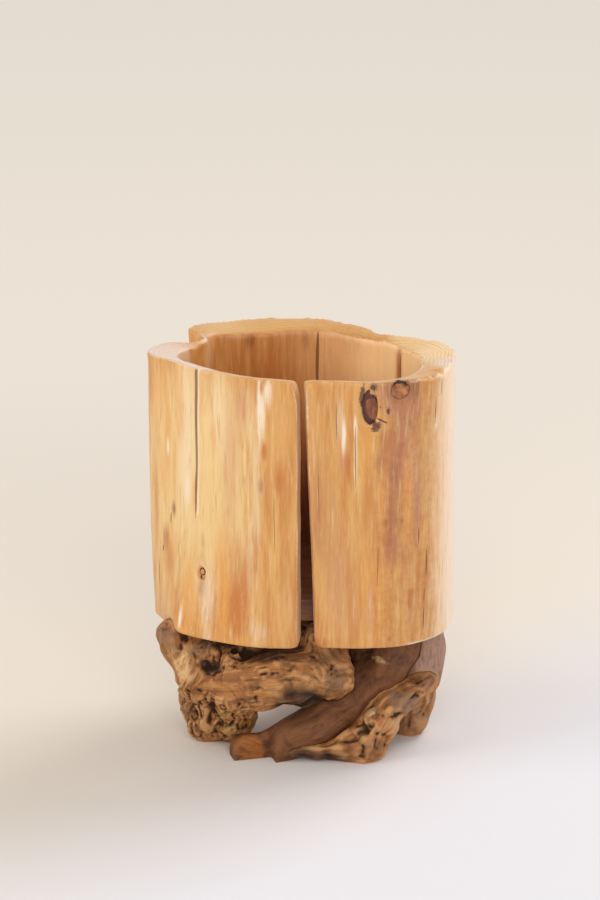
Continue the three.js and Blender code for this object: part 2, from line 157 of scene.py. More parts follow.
def read(tree, name, output="Fac"):
    """What was written on the surface under this name."""
    return add(tree, "Attribute", {"attribute_name": name}, {}).outputs[output]


def own_place(tree):
    """The point's place in the piece's own coordinates."""
    return add(tree, "TexCoord", {}, {}).outputs["Object"]


def new_group(name, inputs, outputs):
    """An empty shader group with named sockets. Returns its tree, and its input and output nodes."""
    tree = bpy.data.node_groups.new(name, "ShaderNodeTree")
    for title, kind in inputs:
        tree.interface.new_socket(title, in_out="INPUT", socket_type="NodeSocket" + kind)
    for title, kind in outputs:
        tree.interface.new_socket(title, in_out="OUTPUT", socket_type="NodeSocket" + kind)
    return tree, tree.nodes.new("NodeGroupInput"), tree.nodes.new("NodeGroupOutput")


def use(tree, group, inputs):
    """Places a shader group in a material with its own values."""
    node = tree.nodes.new("ShaderNodeGroup")
    node.node_tree = group
    return fill(tree, node, inputs)


def new_material(name):
    """An empty material with its Principled shader. Returns the material, its tree and the shader."""
    material = bpy.data.materials.new(name)
    material.use_nodes = True
    return material, material.node_tree, material.node_tree.nodes["Principled BSDF"]


def coat(tree, shader, colour, roughness, height, strength, depth):
    """Gives the shader its colour, its gloss and a bump that is depth mm deep."""
    bump = add(tree, "Bump", {}, {"Strength": strength, "Distance": depth * MM, "Height": height})
    fill(tree, shader, {"Base Color": colour, "Roughness": roughness, "Normal": bump.outputs[0]})

# %% [markdown]
# ## The studio
# A plain pale floor runs far past the picture, and its colour drifts from a warm beige far off to a cool
# white near the camera, as the paper in the photograph does. Far from the vase the camera sees the paper's
# plain colour, and near it the paper keeps the vase's shadow. The light is soft: broad lamps behind on the
# right, on the left and in front, and a pale sky.

# %% Lay the floor
disc = bmesh.new()
bmesh.ops.create_circle(disc, cap_ends=True, segments=96, radius=9)
floor_mesh = bpy.data.meshes.new("floor")
disc.to_mesh(floor_mesh)
disc.free()
floor = bpy.data.objects.new("floor", floor_mesh)
scene.collection.objects.link(floor)

floor_look, tree, shader = new_material("paper floor")
spot = own_place(tree)
place = add(tree, "SeparateXYZ", {}, {0: spot})
drift = sum_of(tree, "SUBTRACT", place.outputs["Y"], place.outputs["X"])
speck = noise(tree, spot, 3.0)
warmth = stepped(tree, times_plus(tree, speck, 0.1, drift), -0.25, 0.2)
paper = blended(tree, warmth, paint(234, 233, 238), paint(233, 223, 211))
fill(tree, shader, {"Base Color": paper, "Roughness": 0.7, "Specular IOR Level": 0.2})
away = add(tree, "VectorMath", {"operation": "LENGTH"}, {0: spot}).outputs["Value"]
backdrop = blended(tree, stepped(tree, away, 1.0, 3.2), paint(236, 226, 213), paint(227, 219, 208))
glow = add(tree, "Emission", {}, {"Color": backdrop, "Strength": 1.0})
rays = add(tree, "LightPath", {}, {})
far_off = stepped(tree, away, 0.35, 1.1)
far_off = times(tree, far_off, rays.outputs["Is Camera Ray"])
seen = add(tree, "MixShader", {}, {0: far_off, 1: shader.outputs[0], 2: glow.outputs[0]})
tree.links.new(seen.outputs[0], tree.nodes["Material Output"].inputs["Surface"])
floor_mesh.materials.append(floor_look)
print("floor laid, 18 m across")

# %% Hang the lamps and the pale sky
VASE_MIDDLE = Vector((0, 0, 0.17))


def lamp(name, place, width, power, colour):
    """A broad square lamp that faces the middle of the vase."""
    light = bpy.data.lights.new(name, "AREA")
    light.size = width
    light.energy = power
    light.color = colour
    stand = bpy.data.objects.new(name, light)
    stand.location = place
    stand.rotation_euler = (VASE_MIDDLE - Vector(place)).to_track_quat("-Z", "Y").to_euler()
    scene.collection.objects.link(stand)


lamp("window lamp", (1.5, 1.1, 1.9), 1.5, 33, (1.0, 0.99, 0.98))
lamp("left lamp", (-1.9, -0.5, 1.3), 1.4, 17, (1.0, 0.98, 0.95))
lamp("front lamp", (0.3, -2.9, 1.7), 1.8, 38, (1.0, 0.99, 0.97))

sky = bpy.data.worlds.new("pale sky")
sky.use_nodes = True
scene.world = sky
tree = sky.node_tree
glow = tree.nodes["Background"]
fill(tree, glow, {"Color": paint(250, 249, 247), "Strength": 0.46})
seen = add(tree, "Background", {}, {"Color": paint(233, 225, 214), "Strength": 1.0})
rays = add(tree, "LightPath", {}, {})
direct = sum_of(tree, "MAXIMUM", rays.outputs["Is Camera Ray"], rays.outputs["Is Glossy Ray"])
choice = add(tree, "MixShader", {}, {0: direct, 1: glow.outputs[0], 2: seen.outputs[0]})
tree.links.new(choice.outputs[0], tree.nodes["World Output"].inputs["Surface"])

# %% [markdown]
# ## Carving tools
# The wood is carved the way a sculptor does it: first the surface is made of small even faces, then its
# points are moved. Blender's Remesh modifier makes the faces, and numpy moves all the points at once.
# The noise here is worked out from whole-numbered cells, so it is the same on every run.

# %% Noise for whole sets of points
# Large odd factors and shifts, which spread the numbers of neighbouring cells far apart
CELL_FACTORS, SEED_FACTOR = (73856093, 19349663, 83492791), 2654435761
MIXING = ((15, 2246822519), (13, 3266489917))
LARGEST = 0xFFFFFFFF


def cell_values(cells, seed):
    """A steady number from 0 to 1 for each whole-numbered cell of space."""
    wide = cells.astype(np.uint64)
    mixed = np.zeros(len(cells), np.uint64)
    for column, factor in zip(wide.T, CELL_FACTORS):
        mixed ^= column * np.uint64(factor)
    mixed += np.uint64(seed * SEED_FACTOR)
    for shift, factor in MIXING:
        mixed = (mixed ^ (mixed >> np.uint64(shift))) * np.uint64(factor) & np.uint64(LARGEST)
    return (mixed ^ (mixed >> np.uint64(16))).astype(float) / LARGEST


# The cells of the noise are turned, so that no row of them runs along an edge of the vase
TURN = np.array(Matrix.Rotation(0.9, 3, (0.5, 0.3, 0.8)))


def lumps(points, size, seed):
    """Smooth noise from -1 to 1 with lumps about size mm across: each cell corner leans its own way."""
    scaled = points @ TURN / size
    base = np.floor(scaled)
    part = scaled - base
    eased = part**3 * (part * (part * 6 - 15) + 10)
    total = np.zeros(len(points))
    for corner in itertools.product((0, 1), repeat=3):
        cell = (base + corner).astype(np.int64)
        lean = np.stack([cell_values(cell, seed + 101 * k) for k in range(3)], axis=1) * 2 - 1
        share = np.prod(np.where(corner, eased, 1 - eased), axis=1)
        total += share * np.einsum("ij,ij->i", part - corner, lean)
    return np.clip(total * 1.9, -1, 1)


def wobble(points, size, seed):
    """A push of up to 1 each way at each point, from three sets of lumps."""
    return np.stack([lumps(points, size, seed + k) for k in range(3)], axis=1)


def mound(points, middle, sizes):
    """A soft mound: 1 in its middle, and nearly 0 at twice its sizes in mm."""
    return np.exp(-(((points - middle) / sizes) ** 2).sum(axis=1))


def fragments(points, size, seed):
    """Broken blocks about size mm across: how near each point is to a seam, and its block's own number."""
    scaled = points / size
    base = np.floor(scaled)
    nearest = np.full(len(points), 9.0)
    second = nearest.copy()
    number = np.zeros(len(points))
    for corner in itertools.product((-1, 0, 1), repeat=3):
        cell = (base + corner).astype(np.int64)
        heart = cell + np.stack([cell_values(cell, seed + k) for k in range(3)], axis=1)
        reach = np.linalg.norm(scaled - heart, axis=1)
        second = np.minimum(second, np.maximum(reach, nearest))
        number = np.where(reach < nearest, cell_values(cell, seed + 7), number)
        nearest = np.minimum(nearest, reach)
    return second - nearest, number


# %% Surfaces of small even faces
def joined(node):
    """A CAD node's surface for bmesh, its loose triangles joined."""
    shape = bmesh.new()
    shape.from_mesh(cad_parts[node].data)
    bmesh.ops.remove_doubles(shape, verts=shape.verts[:], dist=0.002 * MM)
    return shape


def closed_copy(name, node, extras=()):
    """A new object in the shape of a CAD node, with extra lumps set in it."""
    shape = joined(node)
    for centre, sizes, turn in extras:
        spread = Matrix.Diagonal(Vector(sizes) * MM).to_4x4()
        seat = Matrix.Translation(Vector(centre) * MM) @ Matrix.Rotation(math.radians(turn), 4, "Y") @ spread
        bmesh.ops.create_icosphere(shape, subdivisions=3, radius=1, matrix=seat)
    mesh = bpy.data.meshes.new(name)
    shape.to_mesh(mesh)
    shape.free()
    piece = bpy.data.objects.new(name, mesh)
    scene.collection.objects.link(piece)
    return piece


def apply_modifiers(piece):
    """Makes the shape that the piece's modifiers give into its own mesh."""
    seen_now = bpy.context.evaluated_depsgraph_get()
    mesh = bpy.data.meshes.new_from_object(piece.evaluated_get(seen_now))
    piece.modifiers.clear()
    piece.data = mesh
    mesh.name = piece.name


def with_even_faces(piece, grid):
    """Makes the piece's surface again from faces about grid mm across."""
    remesh = piece.modifiers.new("even faces", "REMESH")
    remesh.mode = "VOXEL"
    remesh.voxel_size = grid * MM
    apply_modifiers(piece)
    return piece


def points_of(mesh, what="co"):
    """Each point's place in mm, or its normal."""
    values = np.empty(len(mesh.vertices) * 3, np.float32)
    mesh.vertices.foreach_get(what, values)
    return values.reshape(-1, 3).astype(float) / (MM if what == "co" else 1)


def move_points(mesh, points):
    """Puts the points at new places in mm, inside the CAD box and never under the ground."""
    kept = np.clip(points, lowest, highest) * MM
    mesh.vertices.foreach_set("co", kept.astype(np.float32).ravel())
    mesh.update()


def edges_of(mesh):
    """The two ends of each edge."""
    ends = np.empty(len(mesh.edges) * 2, np.int32)
    mesh.edges.foreach_get("vertices", ends)
    return ends.reshape(-1, 2)


def averaged(values, edges, rounds, held=None):
    """The values after each point takes its neighbours' average for some rounds. Held points keep theirs."""
    first, second = edges.T
    size = len(values)
    count = np.maximum(np.bincount(first, minlength=size) + np.bincount(second, minlength=size), 1)
    for _ in range(rounds):
        columns = [
            (np.bincount(first, c[second], size) + np.bincount(second, c[first], size)) / count
            for c in values.reshape(size, -1).T
        ]
        mean = np.stack(columns, axis=1).reshape(values.shape)
        if held is None:
            values = mean
        else:
            values = np.where(held.reshape(-1, *[1] * (values.ndim - 1)), values, mean)
    return values


def at_edges(mesh, edges, angle):
    """The points at a sharp edge of the surface."""
    normals = points_of(mesh, "normal")
    first, second = edges.T
    sharp = np.einsum("ij,ij->i", normals[first], normals[second]) < math.cos(math.radians(angle))
    flagged = np.zeros(len(normals), bool)
    flagged[edges[sharp].ravel()] = True
    return flagged


# %% Numbers written on a surface
def write(mesh, name, values):
    """Writes one number, or three, or a colour, at each point for the finish to read."""
    kinds = {1: ("FLOAT", "value"), 3: ("FLOAT_VECTOR", "vector"), 4: ("FLOAT_COLOR", "color")}
    kind, slot_name = kinds[1 if values.ndim == 1 else values.shape[1]]
    layer = mesh.attributes.new(name, kind, "POINT")
    layer.data.foreach_set(slot_name, values.astype(np.float32).ravel())


def surface_tree(nodes, wanted=lambda normal, centre: True):
    """A tree of the CAD nodes' faces that are wanted, which finds the nearest one to a point."""
    corners, faces = [], []
    for node in nodes:
        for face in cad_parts[node].data.polygons:
            if wanted(face.normal, face.center):
                faces.append(range(len(corners), len(corners) + 3))
                corners += [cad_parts[node].data.vertices[k].co for k in face.vertices]
    return BVHTree.FromPolygons(corners, [tuple(face) for face in faces])


def distance_to(tree, points, reach=60):
    """Each point's distance in mm to the nearest face in the tree, up to reach."""
    found = (tree.find_nearest(Vector(p * MM), reach * MM) for p in points)
    return np.array([reach if hit[3] is None else hit[3] / MM for hit in found])


def ridges(mesh, edges, fine, broad):
    """How far each point stands out of its surroundings: 1 on a ridge, -1 in a crevice."""
    points, normals = points_of(mesh), points_of(mesh, "normal")
    total = np.zeros(len(points))
    for rounds in (fine, broad):
        proud = np.einsum("ij,ij->i", points - averaged(points, edges, rounds), normals)
        total += proud / max(np.percentile(abs(proud), 92), 1e-6)
    return np.clip(total / 2, -1, 1)


# %% [markdown]
# ## The log's staves
# The log was hollowed and sanded by hand, so its wall has long soft ripples and slightly eased edges. Each
# stave starts as its CAD solid. The faces between two stations of the outline are smoothed round, and only
# the sharp edges of the rim, the split and the crack are held.

# %% Places on the log
# The log's outline is close to an ellipse, and it stands from its foot to its top, in mm
HALF_WIDTH, HALF_DEPTH = 124, 92
LOG_FOOT, LOG_TOP = 94, 330


def sharp_edge_places(node, angle, step=0.4):
    """Places in mm, a step apart, along the CAD node's sharp edges."""
    shape = joined(node)
    places = []
    for edge in shape.edges:
        if len(edge.link_faces) == 2 and edge.calc_face_angle() > math.radians(angle):
            ends = [np.array(corner.co) / MM for corner in edge.verts]
            count = int(np.linalg.norm(ends[1] - ends[0]) / step) + 2
            places += list(ends[0] + (ends[1] - ends[0]) * np.linspace(0, 1, count)[:, None])
    shape.free()
    return np.array(places)


def is_bark_side(normal, centre):
    """True for a face on the outside of the log."""
    outward = Vector((centre.x / HALF_WIDTH**2, centre.y / HALF_DEPTH**2, 0)).normalized()
    return normal.dot(outward) > 0.35 and abs(normal.z) < 0.5


def tangent_at(x, y):
    """The level direction that runs along the log's wall there."""
    slope = np.array([-y / HALF_DEPTH**2, x / HALF_WIDTH**2])
    return slope / np.linalg.norm(slope)


outside = surface_tree(["shell_left", "shell_right"], is_bark_side)

# %% Carve the staves
# Chips out of the rim: the middle in mm, the reach and the depth
CHIPS = [
    (112, -58, 330, 8, 2.2), (119, -12, 330, 7, 1.8), (99, -77, 330, 5, 2.2), (117, -36, 330, 7, 1.8),
    (106, -70, 330, 5, 2.4), (88, -84, 330, 4, 1.6), (-33, -84, 330, 5, 1.5), (121, 4, 330, 5, 1.5),
]
CRACK_AT, CRACK_TOP, CRACK_LENGTH = (-84.0, -54.5), 334.0, 126.0
SHARP = 26  # degrees between the normals at the two ends of a sharp edge
CREST_ROUNDS, WALL_ROUNDS, FAR_RIM_ROUNDS = 14, 45, 6  # of smoothing


def ease_split(points):
    """The left stave's edge at the split, which bulges below a corner that the maker rounded off."""
    bulge = np.interp(points[:, 2], [94, 150, 200, 250, 300, 311, 331], [0.3, 1.5, 2.6, 3.6, 4.5, 4.4, 0])
    near = np.clip((points[:, 0] + 40) / 28, 0, 1) * (points[:, 1] < -30)
    eased = points.copy()
    eased[:, 0] += bulge * near**2
    return eased


def cut_crack(piece):
    """Cuts the drying crack: a thin wandering wedge that runs down from the rim."""
    along = tangent_at(*CRACK_AT)
    outward = np.array([along[1], -along[0]])
    wedge = bmesh.new()
    bmesh.ops.create_cube(wedge, size=1)
    uprights = [e for e in wedge.edges if abs(e.verts[0].co.z - e.verts[1].co.z) > 0.5]
    bmesh.ops.subdivide_edges(wedge, edges=uprights, cuts=24, use_grid_fill=True)
    for corner in wedge.verts:
        up = corner.co.z + 0.5
        # Half its width: 0.1 mm at its lower end and 1.6 mm at the rim on the skin, a fifth of that inside
        half = (0.1 + 1.5 * up**0.9) * (1.0 if corner.co.y > 0 else 0.2)
        wander = 0.5 * math.sin(11 * up) + 0.25 * math.sin(29 * up) - 1.2 * (1 - up)
        middle = CRACK_AT + along * (2 * corner.co.x * half + wander) + outward * (15 * corner.co.y - 3.5)
        corner.co = Vector((*middle, CRACK_TOP - CRACK_LENGTH * (1 - up))) * MM
    bmesh.ops.recalc_face_normals(wedge, faces=wedge.faces[:])
    tool = bpy.data.objects.new("crack wedge", bpy.data.meshes.new("crack wedge"))
    wedge.to_mesh(tool.data)
    wedge.free()
    scene.collection.objects.link(tool)
    cut = piece.modifiers.new("crack", "BOOLEAN")
    cut.operation, cut.solver, cut.object = "DIFFERENCE", "EXACT", tool
    apply_modifiers(piece)
    bpy.data.objects.remove(tool)


# Ripples of the sanded wall: size across the grain and height in mm, seed
RIPPLES = [(17, 0.45, 3), (5, 0.16, 4), (2.2, 0.08, 5)]


def chip_rim(points):
    """The points with the chips broken out of the rim."""
    for x, y, z, reach, depth in CHIPS:
        rough = np.maximum(0.8 + 1.6 * lumps(points, 6.0, 9) + 0.4 * lumps(points, 2.4, 8), 0)
        points[:, 2] -= depth * mound(points, (x, y, z), reach) * rough
    return points


def carve_stave(name, node, grid):
    """A stave with a rippled wall, eased edges and chips out of its rim."""
    piece = with_even_faces(closed_copy(name, node), grid)
    mesh = piece.data
    edges = edges_of(mesh)
    # Smooth along the sharp edges first, then the walls between them, and the far rim once more
    crest = at_edges(mesh, edges, SHARP)
    held = averaged(crest.astype(float), edges, 1) > 0
    along_crest = edges[crest[edges[:, 0]] & crest[edges[:, 1]]]
    points = averaged(points_of(mesh), along_crest, CREST_ROUNDS, ~crest)
    points = averaged(points, edges, WALL_ROUNDS, held)
    points = averaged(points, edges, 2)
    far_rim = (points[:, 1] > 20) & (points[:, 2] > 320)
    points = averaged(points, edges, FAR_RIM_ROUNDS, ~far_rim)
    move_points(mesh, points)
    normals = points_of(mesh, "normal")
    walls = 1 - np.clip(abs(normals[:, 2]) * 1.6, 0, 1)
    long_grain = points * (1, 1, 1 / 9)
    ripple = sum(height * lumps(long_grain, size, seed) for size, height, seed in RIPPLES)
    points = points + normals * ((ripple + 0.25) * walls)[:, None]
    on_rim = averaged(np.clip(normals[:, 2] * 2, 0, 1), edges, 6)
    points[:, 2] += 0.4 * (lumps(points, 14, 6) - 1) * on_rim
    points = chip_rim(points)
    if node == "shell_left":
        points = ease_split(points)
    move_points(mesh, points)
    if node == "shell_left":
        cut_crack(piece)
    piece.data.shade_smooth()
    print(name, len(piece.data.polygons), "faces")
    return piece


# The larger stave has larger faces, so that each stays under 200,000 triangles
stave_left = carve_stave("stave_left", "shell_left", grid=1.25)
stave_right = carve_stave("stave_right", "shell_right", grid=1.7)

# %% [markdown]
# ## Grain on the log
# Wood is a bundle of upright fibres in growth rings. So the finish reads a grain place, in which height is
# pressed together, and noise on it turns into long streaks. Round a knot the fibres part and close again
# like water round a post, and the same formula bends the grain place there. Another number is the depth
# under the bark side, which draws the rings on the rim. Colours, slits and wear are written there too;
# some of the colours are painted light and shade, and the pale edges are partly a painted highlight.

# %% Knots, stains, painted light and slits of this log, in mm
KNOTS = [(53, -92, 308, 7.5, 2.2), (77, -88, 321, 7.5, 1.3), (-79, -60, 159, 5, 1.5)]
CREAM, PALE, SHINE, STRAW = (244, 216, 172), (240, 222, 200), (250, 232, 206), (236, 200, 138)
BLUSH = (230, 206, 192)
HONEY, AMBER, ORANGE = (221, 164, 92), (226, 158, 80), (200, 122, 56)
PINK, ROSE, TAN, UMBER, BARK = (214, 158, 114), (186, 124, 84), (206, 148, 94), (132, 76, 42), (58, 32, 26)
# x, y, z of the middle, half width, half height, colour from 0 to 255, strength
STAINS_AND_PAINTED_LIGHT = [
    (-40, 86, 200, 16, 90, STRAW, 0.5), (58, 76, 150, 14, 70, ROSE, 0.4), (8, 92, 250, 4, 60, AMBER, 0.5),
    (96, 52, 220, 18, 90, PINK, 0.45), (-92, 48, 180, 12, 60, TAN, 0.5),
    (-62, 76, 130, 6, 40, ORANGE, 0.5), (30, 88, 120, 5, 30, UMBER, 0.35),
    (114, 20, 150, 12, 60, HONEY, 0.5), (-14, 90, 160, 3, 40, PINK, 0.5),
    (-92, -46, 262, 42, 70, STRAW, 0.75), (-62, -70, 250, 26, 62, STRAW, 0.6),
    (-112, -22, 190, 24, 60, STRAW, 0.6), (-84, -56, 190, 22, 34, STRAW, 0.5),
    # The straw patch at x 117 on the log's right edge is a painted highlight.
    (117, -40, 220, 16, 110, STRAW, 0.6), (-50, -78, 216, 16, 24, STRAW, 0.4),
    (-88, -52, 150, 20, 22, STRAW, 0.35), (-93, -46, 268, 8, 50, CREAM, 0.9),
    (-108, -30, 268, 2.5, 34, AMBER, 0.55), (-117, -20, 296, 4, 22, AMBER, 0.35),
    (-108, -30, 256, 1, 6, SHINE, 1), (-103, -36, 240, 2, 26, AMBER, 0.5),
    (-112, -26, 236, 4, 20, AMBER, 0.4), (-70, -66, 277, 2, 11, AMBER, 0.8),
    (-47, -78, 306, 4, 16, PINK, 0.8), (-57, -74, 255, 6, 48, PINK, 0.55),
    (-66, -68, 296, 7, 30, CREAM, 0.4), (-38, -82, 280, 5, 40, CREAM, 0.35),
    (-34, -83, 306, 1.6, 22, SHINE, 0.9), (-27, -85, 318, 3, 9, SHINE, 1),
    (-31, -84, 300, 1.4, 14, SHINE, 0.9), (-32, -83, 322, 1.2, 5, ORANGE, 1),
    (-19, -87, 290, 9, 34, HONEY, 0.85), (-30, -84, 269, 2.2, 7, ORANGE, 0.9),
    (-18, -88, 246, 3.4, 11, ORANGE, 1), (-33, -83, 240, 2.2, 6, ROSE, 0.7),
    (-45, -79, 243, 1.6, 4, PINK, 0.8), (-85, -54, 225, 4, 12, AMBER, 0.5),
    (-92, -48, 226, 3, 10, SHINE, 0.5), (-107, -31, 178, 4, 12, AMBER, 0.6),
    (-100, -38, 172, 2.5, 14, AMBER, 0.55), (-79, -61, 186, 1.6, 5, TAN, 0.8),
    (-80, -62, 147, 3.2, 8, ROSE, 0.8), (-63, -70, 172, 8, 26, AMBER, 0.35),
    (-50, -79, 167, 7, 20, TAN, 0.5), (-37, -83, 170, 5, 46, PALE, 0.25),
    (-52, -80, 133, 8.5, 24, ORANGE, 0.9), (-46, -81, 148, 1.5, 18, ORANGE, 0.8),
    (-64, -74, 140, 4.5, 34, AMBER, 0.8), (-76, -68, 128, 6, 30, PALE, 0.45),
    (-92, -55, 135, 6, 32, AMBER, 0.75), (-98, -50, 138, 1.8, 22, AMBER, 0.6),
    (-99, -52, 115, 1.8, 13, SHINE, 0.8), (-95, -57, 106, 4, 7, AMBER, 0.8),
    (-112, -28, 116, 6, 16, PINK, 0.45), (-34, -87, 116, 7, 11, PALE, 0.4),
    (-16, -89, 150, 7, 60, TAN, 0.35), (-55, -81, 105, 16, 3, AMBER, 0.8),
    (30, -89, 300, 3, 34, PALE, 0.4), (33, -90, 281, 1.4, 13, SHINE, 1),
    (35, -90, 262, 3, 11, ORANGE, 0.9), (37, -90, 250, 1.5, 10, ORANGE, 0.6),
    (42, -91, 292, 1.3, 8, SHINE, 0.9), (42, -91, 266, 1.2, 26, CREAM, 0.8),
    (12, -88, 270, 7, 60, HONEY, 0.5), (50, -92, 278, 5, 26, AMBER, 0.7),
    (58, -91, 255, 4, 34, HONEY, 0.6), (67, -91, 322, 6, 8, PINK, 0.7), (75, -89, 312, 9, 12, PINK, 0.7),
    (85, -85, 302, 8, 14, ROSE, 0.6), (81, -87, 288, 9, 13, ROSE, 0.6), (72, -89, 268, 9, 16, ROSE, 0.65),
    (84, -86, 262, 6, 20, PINK, 0.6), (70, -90, 246, 8, 14, ROSE, 0.6), (90, -83, 244, 5, 24, PINK, 0.6),
    (78, -88, 232, 5, 16, ROSE, 0.5), (96, -79, 262, 6, 30, TAN, 0.5), (70, -89, 203, 10, 20, ROSE, 0.65),
    (76, -89, 184, 7, 12, ROSE, 0.5), (64, -91, 232, 3, 34, AMBER, 0.8),
    (83, -86, 226, 3.2, 36, AMBER, 0.8), (92, -82, 216, 3, 26, ROSE, 0.55),
    (13, -88, 222, 3.2, 46, ROSE, 0.5), (24, -88, 190, 9, 60, TAN, 0.55),
    (34, -89, 150, 10, 40, PINK, 0.4), (46, -92, 200, 4, 50, HONEY, 0.5),
    (58, -91, 148, 10, 42, AMBER, 0.6), (54, -91, 138, 1.8, 20, PINK, 0.8),
    (87, -84, 146, 2.4, 8, ORANGE, 1), (88, -83, 128, 2.2, 16, TAN, 0.8),
    (14, -89, 109, 6, 4, ORANGE, 0.9), (106, -72, 290, 1.3, 6, SHINE, 1),
    # The pale patches at x 117 on this line and x 118 on the next are a painted highlight on the right edge.
    (103, -74, 240, 4, 60, HONEY, 0.5), (117, -50, 245, 7, 90, PALE, 0.85),
    (118, -44, 150, 7, 60, PALE, 0.7), (70, -89, 113, 1.6, 2.4, ROSE, 1),
    (66, -91, 212, 1.6, 4, UMBER, 0.45), (72, -90, 248, 2, 4, ROSE, 0.8),
    (74, -89, 212, 2, 5, UMBER, 0.35), (79, -87, 213, 1.3, 3, UMBER, 0.4),
    (68, -91, 306, 1.2, 2.6, UMBER, 1), (56, -92, 325, 2.2, 3.4, BARK, 1),
    (85, -85, 322, 5, 7, UMBER, 0.75), (68, -91, 318, 1.3, 2, UMBER, 0.8),
    (-82, -57, 168, 3, 5, PINK, 0.6), (78, -88, 320, 13, 12, TAN, 0.7),
    (-111, -29, 177, 3, 9, (168, 104, 60), 0.85), (-107, -32, 160, 5, 14, (206, 132, 68), 0.75),
    (-117, -18, 205, 3, 40, (196, 120, 60), 0.55), (-104, -36, 205, 2, 5, UMBER, 0.8),
    (-99, -42, 290, 5, 30, AMBER, 0.5), (62, -91, 262, 4, 7, (180, 112, 74), 0.5),
    (66, -90, 283, 5, 8, (188, 120, 78), 0.45), (75, -89, 256, 4, 9, (178, 110, 72), 0.5),
    (70, -90, 224, 3.5, 10, (176, 110, 70), 0.5), (80, -87, 272, 4, 8, (184, 116, 76), 0.45),
    (68, -90, 194, 3, 12, (180, 114, 72), 0.5), (86, -84, 324, 6, 8, UMBER, 0.5),
    # The two broad pale bands down the log's right side are a painted highlight from the light on the right.
    (113, -58, 240, 16, 220, (246, 206, 160), 0.75), (124, -28, 260, 25, 300, (246, 220, 196), 0.8),
    (77, -88, 317, 12, 15, (188, 128, 88), 0.7), (78, -88, 322, 10, 9.5, (150, 90, 54), 0.8),
]
# The same inside the bore, where some patches are painted light and painted shade
BORE_STAINS_AND_PAINTED_LIGHT = [
    (-92, -4, 280, 30, 90, (232, 194, 156), 0.9), (-78, 12, 300, 14, 60, (222, 178, 136), 0.7),
    # Low in the bore, the dark brown at (0, 70, 130) is painted shade, and the brown at (-30, 66, 250) on the
    # back wall's left is partly heartwood and partly painted shade.
    (0, 70, 130, 90, 70, (104, 56, 28), 0.85), (-30, 66, 250, 30, 90, (184, 114, 54), 0.5),
    # The two very pale patches at (66, 34, 290) and (92, -10, 300) are painted light on the inner right wall.
    (66, 34, 290, 34, 60, (250, 204, 146), 0.95), (92, -10, 300, 30, 60, (255, 214, 158), 1.0),
    (26, 66, 300, 22, 40, (222, 166, 110), 0.8), (2, 66, 316, 4, 10, UMBER, 0.5),
    (-42, 62, 316, 3, 6, UMBER, 0.5), (79, 22, 303, 2.6, 19, (166, 96, 48), 1.0),
    (-24, 68, 292, 5, 12, ORANGE, 0.4), (-58, 46, 300, 5, 20, ORANGE, 0.4),
]
# The same on the sawn rim
RIM_STAINS = [
    (-104, -8, 330, 27, 60, BLUSH, 0.95), (-72, 34, 330, 12, 60, BLUSH, 0.9),
    (-84, -42, 330, 16, 60, BLUSH, 0.6), (112, 2, 325, 30, 60, (240, 206, 154), 0.8),
    (118, -34, 325, 12, 60, BLUSH, 0.7), (84, 34, 325, 14, 60, STRAW, 0.6),
    (-20, 84, 330, 40, 60, (214, 164, 98), 0.7), (-66, 68, 330, 16, 60, (220, 176, 116), 0.8),
]
# x, y, z of the middle, half length, half width: fine open slits along the grain
SLITS = [
    (-84, -54.5, 330, 122, 1.9), (-106, -33, 196, 5, 0.7), (-116, -21, 145, 12, 0.6),
    (-112, -26, 168, 3, 0.7), (-85, -54, 222, 20, 0.45), (-98, -40, 172, 6, 0.3),
    (42, -91, 268, 26, 0.45), (27, -89, 296, 16, 0.3), (93, -81, 198, 7, 0.55), (99, -77, 174, 12, 0.75),
    (98, -77, 146, 7, 0.5), (97, -76, 126, 10, 0.55), (105, -72, 300, 12, 0.5), (13, -88, 232, 22, 0.25),
    (-22, -86, 210, 26, 0.25), (60, -91, 176, 18, 0.25), (111, -68, 318, 7, 0.6), (13, 70, 300, 24, 1.7),
    (80, 20, 300, 20, 0.7),
]
print(len(STAINS_AND_PAINTED_LIGHT), "stains and", len(SLITS), "slits on the log")


# %% Write the grain on the staves
PRESS = 12.0  # how many times the grain place is pressed together along the fibres


def grain_places(points):
    """The grain place of each point: height pressed together, and the fibres parted round the knots."""
    bent = points.copy()
    for x, y, z, reach, tall in KNOTS:
        along = tangent_at(x, y)
        side = (points[:, :2] - (x, y)) @ along
        up = (points[:, 2] - z) / tall
        near = np.linalg.norm(points[:, :2] - (x, y), axis=1)
        spread = reach**2 / np.maximum(side**2 + up**2, reach**2) * np.exp(-np.maximum(near - 30, 0) / 8)
        bent[:, :2] -= (side * spread)[:, None] * along
    return bent / (1, 1, PRESS)


def laid(points, ground, layers):
    """A ground colour with other colours laid over it by their shares, and how far they cover it."""
    colours = np.tile(np.array(paint(*ground)[:3]), (len(points), 1))
    cover = np.zeros(len(points))
    for colour, share in layers:
        weight = share / np.maximum(share + cover * (1 - share), 1e-6)
        colours += (np.array(paint(*colour)[:3]) - colours) * weight[:, None]
        cover += share * (1 - cover)
    return np.column_stack([colours, cover])


def stain_and_light_layers(points, depth, on_rim):
    """Each patch's colour and its share at each point of a stave, later patches over earlier ones; some
    patches are painted light and shade.
    """
    on_skin = np.exp(-((depth / 5) ** 2))
    in_bore = np.clip((depth - 7) / 3, 0, 1) * (1 - on_rim)
    for table, here in ((STAINS_AND_PAINTED_LIGHT, on_skin), (BORE_STAINS_AND_PAINTED_LIGHT, in_bore), (RIM_STAINS, on_rim)):
        for x, y, z, wide, tall, colour, strength in table:
            side = np.linalg.norm(points[:, :2] - (x, y), axis=1) / wide
            up = (points[:, 2] - z) / tall
            yield colour, strength * np.exp(-((side**2 + up**2) ** 1.3) / 1.6) * here


